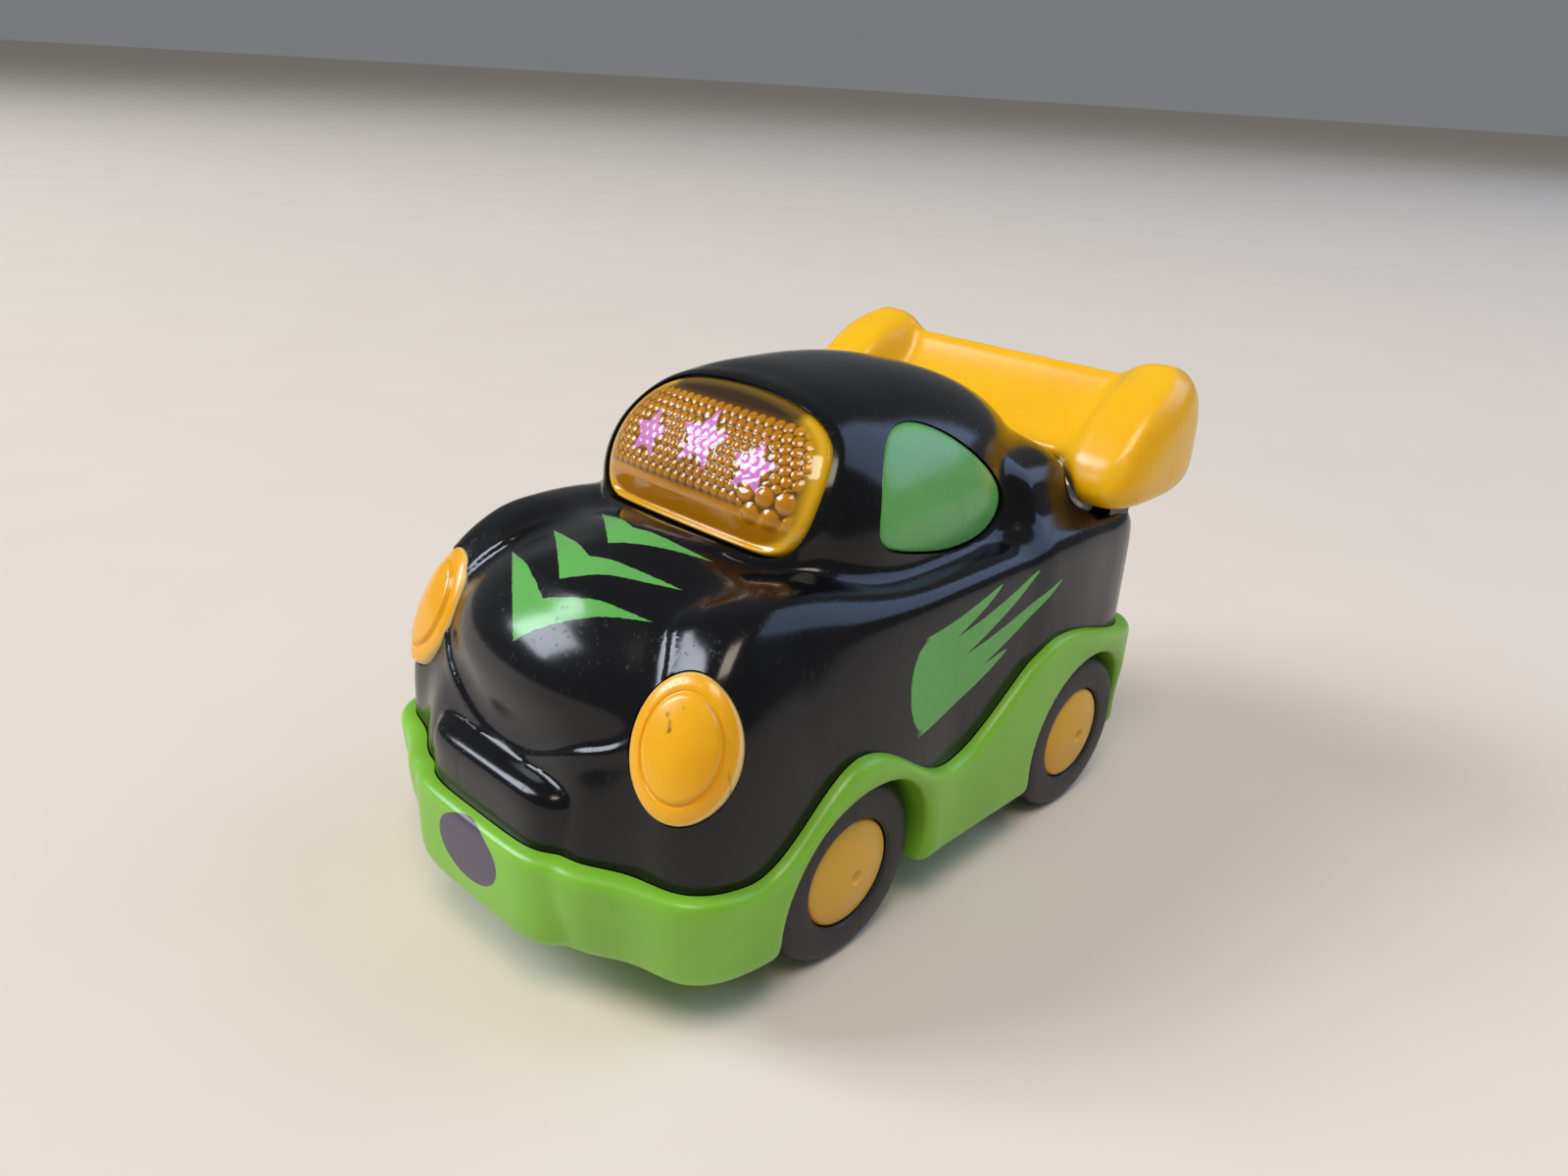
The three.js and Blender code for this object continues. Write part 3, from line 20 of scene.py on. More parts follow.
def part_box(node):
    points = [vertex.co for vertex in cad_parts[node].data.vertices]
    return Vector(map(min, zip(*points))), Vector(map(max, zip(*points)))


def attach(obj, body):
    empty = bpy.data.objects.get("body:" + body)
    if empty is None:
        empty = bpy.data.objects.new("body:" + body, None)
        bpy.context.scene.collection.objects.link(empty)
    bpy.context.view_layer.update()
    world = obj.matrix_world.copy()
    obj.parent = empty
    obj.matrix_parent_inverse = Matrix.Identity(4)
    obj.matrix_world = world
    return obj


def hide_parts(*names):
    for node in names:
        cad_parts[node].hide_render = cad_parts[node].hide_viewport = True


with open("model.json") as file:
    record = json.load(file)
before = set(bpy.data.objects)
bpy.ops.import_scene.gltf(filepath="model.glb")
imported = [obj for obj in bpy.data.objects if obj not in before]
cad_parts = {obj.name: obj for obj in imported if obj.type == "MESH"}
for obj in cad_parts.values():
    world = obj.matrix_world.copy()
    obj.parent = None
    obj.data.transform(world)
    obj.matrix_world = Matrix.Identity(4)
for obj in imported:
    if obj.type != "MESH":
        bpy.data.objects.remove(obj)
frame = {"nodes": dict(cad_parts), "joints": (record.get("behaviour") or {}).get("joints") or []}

LOG = logging.getLogger("toy_race_car")
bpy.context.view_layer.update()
# A millimetre in metres, and a length in millimetres that reaches past the car
MM = 0.001
FAR = 90.0
# How finely rough forms, small rods, holes, wheel wells and round tops are stepped
SEED_SIDES, SEED_RINGS = 64, 40
PIN_SIDES, HOLE_SIDES, WELL_SIDES, ARCH_STEPS = 32, 48, 96, 25
# How corners are cut, slopes measured, and points drawn onto a form
CORNER_CUT = 0.25
TINY = 1e-6
SLOPE_STEP, SLOPE_RUN, LEAST_SLOPE = 0.02, 0.1, 0.2
PRESS_STEP, PRESS_EVENING, PRESS_CLOSING = 0.6, 0.4, 2
DISH_STEP, DISH_ROUNDS = 3.0, 16

Field = Callable[[np.ndarray], np.ndarray]
Socket = bpy.types.NodeSocket


def axle_place(name: str) -> Vector:
    """The place of an axle's joint in the frame, in millimetres."""
    joint = next(joint for joint in frame["joints"] if joint["name"] == name)
    return Vector(joint["pos_m"]) / MM


FRONT_AXLE = axle_place("front_axle_spin")
REAR_AXLE = axle_place("rear_axle_spin")
DATUM_Y = (FRONT_AXLE.y + REAR_AXLE.y) / 2
AXLE_Y = (REAR_AXLE.y - FRONT_AXLE.y) / 2
AXLE_Z = FRONT_AXLE.z
TO_FRAME = Matrix.Scale(MM, 4) @ Matrix.Translation((0, DATUM_Y, 0))


class Side(Enum):
    """A side of the car and its sign along X."""

    LEFT = 1
    RIGHT = -1

    @property
    def word(self) -> str:
        """The side's name as the nodes spell it."""
        return self.name.lower()


class Cut(Enum):
    """What one solid does to another."""

    REMOVE = "DIFFERENCE"
    KEEP_WITHIN = "INTERSECT"
    ADD = "UNION"


# Solid fields: a number for each point, negative inside the solid


def blend(first: np.ndarray, second: np.ndarray, radius: float | np.ndarray) -> np.ndarray:
    """Joins two fields with a fillet that reaches a radius from their crease."""
    near = np.maximum(radius - np.abs(first - second), 0.0) / radius
    return np.minimum(first, second) - near * near * radius / 4


def meet(first: np.ndarray, second: np.ndarray, radius: float) -> np.ndarray:
    """Keeps what two fields share, with an edge that is rounded over a radius."""
    return -blend(-first, -second, radius)


def hump(distance: np.ndarray, width: float) -> np.ndarray:
    """A smooth bump of height one where a distance is nought."""
    return np.exp(-((distance / width) ** 2))


def ease(value: np.ndarray, start: float | np.ndarray, end: float | np.ndarray) -> np.ndarray:
    """A smooth rise from nought at the start to one at the end."""
    share = np.clip((value - start) / (end - start), 0, 1)
    return share * share * (3 - 2 * share)


@dataclass(frozen=True)
class Swelling:
    """A superellipsoid with its own reach to each side, squarer as its exponents grow."""

    centre: tuple[float, float, float]
    half: float
    front: float
    rear: float
    up: float
    down: float
    plan_front: float
    plan_rear: float
    section: float

    def gauge(self, points: np.ndarray, offset: float) -> np.ndarray:
        """Measures points from the centre, one being on the skin.

        Args:
            points: Points, one a row.
            offset: How far the skin is moved out.

        Returns:
            One gauge value for each point.
        """
        x, y, z = (points - np.array(self.centre)).T
        along = np.where(y < 0, self.front, self.rear) + offset
        tall = np.where(z < 0, self.down, self.up) + offset
        plan = np.where(y < 0, self.plan_front, self.plan_rear)
        flat = (np.abs(x / (self.half + offset)) ** plan + np.abs(y / along) ** plan) ** (1 / plan)
        return (flat**self.section + np.abs(z / tall) ** self.section) ** (1 / self.section)

    def distance(self, points: np.ndarray, offset: float = 0.0) -> np.ndarray:
        """Distances from the skin along rays from the centre.

        Args:
            points: Points, one a row.
            offset: How far the skin is moved out.

        Returns:
            One distance for each point.
        """
        reach = np.linalg.norm(points - np.array(self.centre), axis=1)
        gauge = np.maximum(self.gauge(points, offset), TINY)
        return reach * (1 - 1 / gauge)

    def seed(self, offset: float = 0.0) -> bpy.types.Object:
        """Makes a rough closed mesh of the form.

        Args:
            offset: How far the skin is moved out.

        Returns:
            The mesh object, in millimetres.
        """
        bm = bmesh.new()
        bmesh.ops.create_uvsphere(bm, u_segments=SEED_SIDES, v_segments=SEED_RINGS, radius=1.0)
        directions = np.array([vert.co for vert in bm.verts]) * FAR
        ratio = 1 / self.gauge(directions + np.array(self.centre), offset)
        for vert, direction, share in zip(bm.verts, directions, ratio):
            vert.co = Vector(direction * share) + Vector(self.centre)
        return mesh_object("seed", bm)


@dataclass(frozen=True)
class Outline:
    """A smooth closed outline, drawn inside guide corners that are taken anticlockwise about its origin."""

    guides: tuple[tuple[float, float], ...]
    rounds: int = 4

    def points(self, grow: float = 0.0) -> np.ndarray:
        """Points along the outline, made by cutting the guides' corners again and again.

        Args:
            grow: How far the outline is moved out.

        Returns:
            Points, one a row.
        """
        points = np.array(self.guides)
        for _ in range(self.rounds):
            after = np.roll(points, -1, axis=0)
            near, far = (1 - CORNER_CUT) * points, (1 - CORNER_CUT) * after
            cut = (near + CORNER_CUT * after, CORNER_CUT * points + far)
            points = np.stack(cut, axis=1).reshape(-1, 2)
        along = np.roll(points, -1, axis=0) - np.roll(points, 1, axis=0)
        normal = np.stack((along[:, 1], -along[:, 0]), axis=1)
        return points + grow * normal / np.linalg.norm(normal, axis=1, keepdims=True)

    def reach(self, angle: np.ndarray) -> np.ndarray:
        """How far the outline is from its origin, at angles from the first axis."""
        u, v = self.points().T
        return np.interp(angle, np.arctan2(v, u), np.hypot(u, v), period=2 * math.pi)

    def distance(self, u: np.ndarray, v: np.ndarray) -> np.ndarray:
        """Distances from the outline along rays from its origin, negative inside."""
        return np.hypot(u, v) - self.reach(np.arctan2(v, u))


@dataclass(frozen=True)
class Plane:
    """A flat drawing plane set in the car: a middle, and directions to the side, up and out."""

    middle: Vector
    across: Vector
    upward: Vector

    @property
    def outward(self) -> Vector:
        """The direction out of the plane."""
        return self.across.cross(self.upward)

    def flat(self, points: np.ndarray) -> tuple[np.ndarray, np.ndarray, np.ndarray]:
        """Distances of points across the plane, up it and out of it."""
        local = points - np.array(self.middle)
        return local @ np.array(self.across), local @ np.array(self.upward), local @ np.array(self.outward)

    def matrix(self) -> Matrix:
        """The plane as a placing matrix."""
        basis = Matrix((self.across, self.upward, self.outward)).transposed().to_4x4()
        return Matrix.Translation(self.middle) @ basis


def side_plane(middle: Sequence[float] = (0, 0, 0)) -> Plane:
    """The drawing plane of a shape that is seen from the car's left."""
    return Plane(Vector(middle), Vector((0, 1, 0)), Vector((0, 0, 1)))


def toward(bearing: float, rise: float) -> Vector:
    """A direction out of the car: degrees round from the nose to its left, and degrees above the level."""
    turn, lift = math.radians(bearing), math.radians(rise)
    return Vector((math.sin(turn) * math.cos(lift), -math.cos(turn) * math.cos(lift), math.sin(lift)))


def arch(radius: float, drop: float, run: float = 0.0) -> list[Vector]:
    """The outline of a round-topped tab or slot, whose foot lies a drop lower and may run on."""
    angles = np.linspace(0, math.pi, ARCH_STEPS)
    crown = [Vector((radius * math.cos(a), radius * math.sin(a))) for a in angles]
    return [Vector((-radius, -drop)), Vector((radius + run, -drop)), *crown]


# Mesh work


def mesh_object(name: str, bm: bmesh.types.BMesh) -> bpy.types.Object:
    """Turns a bmesh into a linked object.

    Args:
        name: The object's name.
        bm: The bmesh, which is freed.

    Returns:
        The new object.
    """
    bmesh.ops.recalc_face_normals(bm, faces=bm.faces)
    mesh = bpy.data.meshes.new(name)
    bm.to_mesh(mesh)
    bm.free()
    item = bpy.data.objects.new(name, mesh)
    bpy.context.scene.collection.objects.link(item)
    return item


def discard(item: bpy.types.Object) -> None:
    """Removes an object and its mesh."""
    mesh = item.data
    bpy.data.objects.remove(item)
    bpy.data.meshes.remove(mesh)


def points_of(item: bpy.types.Object) -> np.ndarray:
    """Reads a mesh's points.

    Args:
        item: The object.

    Returns:
        Points, one a row.
    """
    points = np.empty(len(item.data.vertices) * 3)
    item.data.vertices.foreach_get("co", points)
    return points.reshape(-1, 3)


def mirrored(item: bpy.types.Object, side: Side) -> bpy.types.Object:
    """Puts a left-hand piece on its side of the car.

    Args:
        item: The piece, made for the left side.
        side: Where it goes.

    Returns:
        The same piece.
    """
    if side is Side.RIGHT:
        item.data.transform(Matrix.Diagonal((-1, 1, 1, 1)))
        item.data.flip_normals()
    return item


def settle(item: bpy.types.Object) -> bpy.types.Object:
    """Applies an object's modifiers to its mesh.

    Args:
        item: The object.

    Returns:
        The same object.
    """
    graph = bpy.context.evaluated_depsgraph_get()
    mesh = bpy.data.meshes.new_from_object(item.evaluated_get(graph))
    item.modifiers.clear()
    old = item.data
    item.data = mesh
    bpy.data.meshes.remove(old)
    return item


def shape(item: bpy.types.Object, cut: Cut, *tools: bpy.types.Object) -> bpy.types.Object:
    """Cuts, joins or trims an object with others, which are used up.

    Args:
        item: The object worked on.
        cut: What the tools do.
        *tools: The other objects.

    Returns:
        The same object.
    """
    for tool in tools:
        modifier = item.modifiers.new(cut.name, "BOOLEAN")
        modifier.operation = cut.value
        modifier.solver = "MANIFOLD"
        modifier.object = tool
        settle(item)
        discard(tool)
    return item


def fuse(items: Sequence[bpy.types.Object], voxel: float) -> bpy.types.Object:
    """Runs overlapping closed meshes together into one even mesh.

    Args:
        items: The objects, which are used up.
        voxel: The size of the new mesh's faces.

    Returns:
        The fused object.
    """
    bm = bmesh.new()
    for item in items:
        bm.from_mesh(item.data)
        discard(item)
    whole = mesh_object("fused", bm)
    modifier = whole.modifiers.new("Voxels", "REMESH")
    modifier.mode = "VOXEL"
    modifier.voxel_size = voxel
    return settle(whole)


def slope(field: Field, points: np.ndarray) -> tuple[np.ndarray, np.ndarray]:
    """Values and gradients of a field.

    Args:
        field: The field.
        points: Points, one a row.

    Returns:
        The values, and one gradient for each point.
    """
    value = field(points)
    gradient = np.empty_like(points)
    for axis in range(3):
        moved = points.copy()
        moved[:, axis] += SLOPE_STEP
        gradient[:, axis] = (field(moved) - value) / SLOPE_STEP
    return value, gradient


def press_onto(item: bpy.types.Object, field: Field, rounds: int = 9) -> bpy.types.Object:
    """Moves a mesh's points onto the skin of a field, evening them out on the way.

    Args:
        item: The object.
        field: The field, in the object's own millimetres.
        rounds: How many times the points are moved.

    Returns:
        The same object.
    """
    mesh = item.data
    points = points_of(item)
    edges = np.empty(len(mesh.edges) * 2, dtype=np.int64)
    mesh.edges.foreach_get("vertices", edges)
    first, second = edges.reshape(-1, 2).T
    count = np.maximum(np.bincount(np.concatenate((first, second)), minlength=len(points)), 1)
    for turn in range(rounds):
        value, gradient = slope(field, points)
        length = np.maximum(np.linalg.norm(gradient, axis=1), LEAST_SLOPE)
        step = np.clip(value / length, -PRESS_STEP, PRESS_STEP)
        points -= gradient / length[:, None] * step[:, None]
        if turn < rounds - PRESS_CLOSING:
            mean = np.empty_like(points)
            for axis in range(3):
                sums = np.bincount(first, points[second, axis], len(points))
                sums += np.bincount(second, points[first, axis], len(points))
                mean[:, axis] = sums / count
            points += (mean - points) * PRESS_EVENING
    mesh.vertices.foreach_set("co", points.ravel())
    mesh.update()
    return item


def column(outline: Sequence[Sequence[float]], plane: Plane, low: float, high: float) -> bpy.types.Object:
    """A straight column over an outline.

    Args:
        outline: Points of the outline in the plane.
        plane: The plane that it is drawn in.
        low: Where the column starts, out of the plane.
        high: Where it ends.

    Returns:
        The column object.
    """
    bm = bmesh.new()
    face = bm.faces.new([bm.verts.new((point[0], point[1], low)) for point in outline])
    grown = bmesh.ops.extrude_face_region(bm, geom=[face])
    raised = [item for item in grown["geom"] if isinstance(item, bmesh.types.BMVert)]
    bmesh.ops.translate(bm, verts=raised, vec=(0, 0, high - low))
    bmesh.ops.transform(bm, matrix=plane.matrix(), verts=bm.verts)
    return mesh_object("column", bm)


def rod(start: Vector, end: Vector, radius: float, sides: int) -> bpy.types.Object:
    """A round rod between two points.

    Args:
        start: One end.
        end: The other end.
        radius: The rod's radius.
        sides: How many flats it has.

    Returns:
        The rod object.
    """
    axis = end - start
    turn = axis.to_track_quat("Z", "Y").to_matrix().to_4x4()
    place = Matrix.Translation((start + end) / 2) @ turn
    bm = bmesh.new()
    bmesh.ops.create_cone(
        bm, cap_ends=True, segments=sides, radius1=radius, radius2=radius, depth=axis.length, matrix=place
    )
    return mesh_object("rod", bm)


def wheel_rods(side: Side, inner_x: float, radius: float) -> list[bpy.types.Object]:
    """The front and rear rod that make room for one side's wheels, from a place off the middle outwards."""
    starts = [Vector((inner_x * side.value, y, AXLE_Z)) for y in (-AXLE_Y, AXLE_Y)]
    return [rod(start, start + Vector((FAR * side.value, 0, 0)), radius, WELL_SIDES) for start in starts]


def block(low: Sequence[float], high: Sequence[float]) -> bpy.types.Object:
    """A square block between two corners.

    Args:
        low: The lowest corner.
        high: The highest corner.

    Returns:
        The block object.
    """
    bm = bmesh.new()
    middle = (Vector(low) + Vector(high)) / 2
    size = Vector(high) - Vector(low)
    place = Matrix.Translation(middle) @ Matrix.Diagonal((*size, 1))
    bmesh.ops.create_cube(bm, size=1.0, matrix=place)
    return mesh_object("block", bm)


def turned(
    name: str, profile: Sequence[tuple[float, float]], place: Matrix, sides: int = 96
) -> bpy.types.Object:
    """A profile turned about an axis.

    Args:
        name: The object's name.
        profile: Pairs of radius and station along the axis.
        place: Where the axis, its own Z, is set.
        sides: How many steps the turn has.

    Returns:
        The turned object.
    """
    bm = bmesh.new()
    verts = [bm.verts.new((radius, 0, station)) for radius, station in profile]
    edges = [bm.edges.new(pair) for pair in zip(verts, verts[1:])]
    bmesh.ops.spin(
        bm, geom=verts + edges, cent=(0, 0, 0), axis=(0, 0, 1), angle=2 * math.pi, steps=sides, use_merge=True
    )
    bmesh.ops.remove_doubles(bm, verts=bm.verts, dist=1e-4)
    bmesh.ops.transform(bm, matrix=place, verts=bm.verts)
    return mesh_object(name, bm)


def finish_piece(
    item: bpy.types.Object, name: str, body: str, finish: "Finish", nodes: Sequence[str], crisp: float = 35.0
) -> bpy.types.Object:
    """Sets a finished mesh into the frame and dresses it.

    Args:
        item: The object, in millimetres about the datum.
        name: Its final name.
        body: The body that it rides on.
        finish: Its finish.
        nodes: The solids that it stands for.
        crisp: The angle, in degrees, past which an edge stays sharp.

    Returns:
        The same object.
    """
    item.name = name
    item.data.name = name
    item.data.transform(TO_FRAME)
    item.data.shade_smooth()
    item.data.set_sharp_from_angle(angle=math.radians(crisp))
    item.data.materials.clear()
    item.data.materials.append(finish.material())
    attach(item, body)
    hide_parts(*nodes)
    LOG.info("%s: %d faces on %s", name, len(item.data.polygons), body)
    return item


# Finishes


def colour(code: str) -> tuple[float, float, float, float]:
    """Turns an sRGB hex colour to linear.

    Args:
        code: Six hex digits.

    Returns:
        Linear red, green and blue, and an alpha of one.
    """
    values = (int(code[i : i + 2], 16) / 255 for i in (0, 2, 4))
    linear = (v / 12.92 if v <= 0.04045 else ((v + 0.055) / 1.055) ** 2.4 for v in values)
    return (*linear, 1.0)


def per_mm(size: float) -> float:
    """A pattern's scale for Object coordinates, from the size of one cell in millimetres."""
    return 1 / (size * MM)


def add_node(
    tree: bpy.types.NodeTree, kind: str, links: dict | None = None, out: int | str = 0, **settings: object
) -> Socket:
    """Adds a node with its settings and links.

    Args:
        tree: The node tree.
        kind: The node's type, without its prefix.
        links: Sockets or plain values by input name or number.
        out: The output that is wanted.
        **settings: The node's own settings.

    Returns:
        That output's socket.
    """
    node = tree.nodes.new("ShaderNode" + kind)
    for name, value in settings.items():
        setattr(node, name, value)
    for name, value in (links or {}).items():
        if isinstance(value, Socket):
            tree.links.new(value, node.inputs[name])
        else:
            node.inputs[name].default_value = value
    return node.outputs[out]


@dataclass(frozen=True)
class Finish:
    """A moulded plastic: a clear colour under a smooth skin, with the marks that play leaves on it.

    Attributes:
        name: What the material is.
        slot: The record's slot for it.
        base: Its main colour.
        tint: The colour that it drifts towards.
        roughness: How dull the clean skin is.
        scratches: How much duller a hair scratch is.
        peel: The size of the skin's faint unevenness, in millimetres.
        depth: The depth of that unevenness, in millimetres.
        ior: Its refractive index.
        metallic: One for a metal.
        glow: How much light spreads below the skin.
        glow_reach: How far red, green and blue light spread there, as shares of the depth.
        glow_depth: That depth, in millimetres.
        drift: The size of the patches in which the colour drifts, in millimetres.
        drift_span: The pattern's values between which it drifts from base to tint.
        hair: The width of a hair scratch, in millimetres.
        hair_turns: The turns of the two directions that the scratches run in.
        hair_lean: The share of that turn about the car's length.
        hair_draw: How far they are drawn out along their run.
        hair_span: The pattern's values between which a scratch fades in.
    """

    name: str
    slot: str
    base: str
    tint: str
    roughness: float = 0.3
    scratches: float = 0.15
    peel: float = 0.9
    depth: float = 0.01
    ior: float = 1.53
    metallic: float = 0.0
    glow: float = 0.0
    glow_reach: tuple[float, float, float] = (1.0, 0.7, 0.3)
    glow_depth: float = 1.2
    drift: float = 14.0
    drift_span: tuple[float, float] = (0.35, 0.7)
    hair: float = 0.7
    hair_turns: tuple[float, float] = (0.5, 2.3)
    hair_lean: float = 0.7
    hair_draw: float = 0.04
    hair_span: tuple[float, float] = (0.64, 0.74)

    def material(self) -> bpy.types.Material:
        """The material, made the first time that it is asked for."""
        return bpy.data.materials.get(self.name) or self.build()

    def build(self) -> bpy.types.Material:
        """Makes the material.

        Returns:
            The material, with its nodes.
        """
        material = bpy.data.materials.new(self.name)
        material.use_nodes = True
        tree = material.node_tree
        tree.nodes.clear()
        surface = add_node(tree, "BsdfPrincipled", {"IOR": self.ior, "Metallic": self.metallic})
        self.dress(tree, surface.node, add_node(tree, "TexCoord", out="Object"))
        tree.links.new(surface, tree.nodes.new("ShaderNodeOutputMaterial").inputs["Surface"])
        return material

    def dress(self, tree: bpy.types.NodeTree, shader: bpy.types.Node, place: Socket) -> None:
        """Links colour, dullness and relief to the shader.

        Args:
            tree: The node tree.
            shader: The principled shader.
            place: Object coordinates.
        """
        tree.links.new(self.colouring(tree, place), shader.inputs["Base Color"])
        tree.links.new(self.dullness(tree, place), shader.inputs["Roughness"])
        tree.links.new(self.relief(tree, place), shader.inputs["Normal"])
        shader.inputs["Subsurface Weight"].default_value = self.glow
        shader.inputs["Subsurface Radius"].default_value = self.glow_reach
        shader.inputs["Subsurface Scale"].default_value = self.glow_depth * MM

    def colouring(self, tree: bpy.types.NodeTree, place: Socket) -> Socket:
        """The colour, drifting slowly between base and tint.

        Args:
            tree: The node tree.
            place: Object coordinates.

        Returns:
            The colour's socket.
        """
        low, high = self.drift_span
        drift = add_node(tree, "TexNoise", {"Vector": place, "Scale": per_mm(self.drift), "Detail": 3.0})
        share = add_node(tree, "MapRange", {"Value": drift, "From Min": low, "From Max": high})
        both = {0: share, 6: colour(self.base), 7: colour(self.tint)}
        return add_node(tree, "Mix", both, out=2, data_type="RGBA")

    def dullness(self, tree: bpy.types.NodeTree, place: Socket) -> Socket:
        """The roughness: clean skin, with hair scratches in two directions.

        Args:
            tree: The node tree.
            place: Object coordinates.

        Returns:
            The roughness socket.
        """
        low, high = self.hair_span
        hairs = []
        for angle in self.hair_turns:
            turn = (angle, angle * self.hair_lean, angle)
            drawn = {"Vector": place, "Rotation": turn, "Scale": (1, 1, self.hair_draw)}
            run = add_node(tree, "Mapping", drawn)
            # Real hair scratches are finer: these are as coarse as they need to be to show
            hair = add_node(tree, "TexNoise", {"Vector": run, "Scale": per_mm(self.hair), "Detail": 2.0})
            hairs.append(add_node(tree, "MapRange", {"Value": hair, "From Min": low, "From Max": high}))
        total = add_node(tree, "Math", {0: hairs[0], 1: hairs[1]}, operation="MAXIMUM")
        span = {"Value": total, "To Min": self.roughness, "To Max": self.roughness + self.scratches}
        return add_node(tree, "MapRange", span)

    def relief(self, tree: bpy.types.NodeTree, place: Socket) -> Socket:
        """The skin's faint unevenness, as a normal's socket."""
        noise = add_node(tree, "TexNoise", {"Vector": place, "Scale": per_mm(self.peel), "Detail": 2.0})
        return add_node(tree, "Bump", {"Height": noise, "Distance": self.depth * MM, "Strength": 1.0})


def in_mm(tree: bpy.types.NodeTree, place: Socket) -> tuple[Socket, Socket, Socket]:
    """Coordinates in millimetres about the datum.

    Args:
        tree: The node tree.
        place: Object coordinates.

    Returns:
        Sockets for x, y and z.
    """
    scaled = {0: place, 1: (1 / MM, 1 / MM, 1 / MM), 2: (0, -DATUM_Y, 0)}
    point = add_node(tree, "VectorMath", scaled, operation="MULTIPLY_ADD")
    parts = add_node(tree, "SeparateXYZ", {0: point}).node.outputs
    return parts[0], parts[1], parts[2]


@dataclass(frozen=True)
class Chevron:
    """A vee on the hood: the front of its point, the back of its notch, and where its arms end."""

    tip: float
    notch: float
    arm_x: float
    arm_y: float


@dataclass(frozen=True)
class Tongue:
    """A tongue of flame on the flank: its root, how far it runs back, climbs and bows, and its half-width."""

    y: float
    z: float
    run: float
    climb: float
    bow: float
    half: float


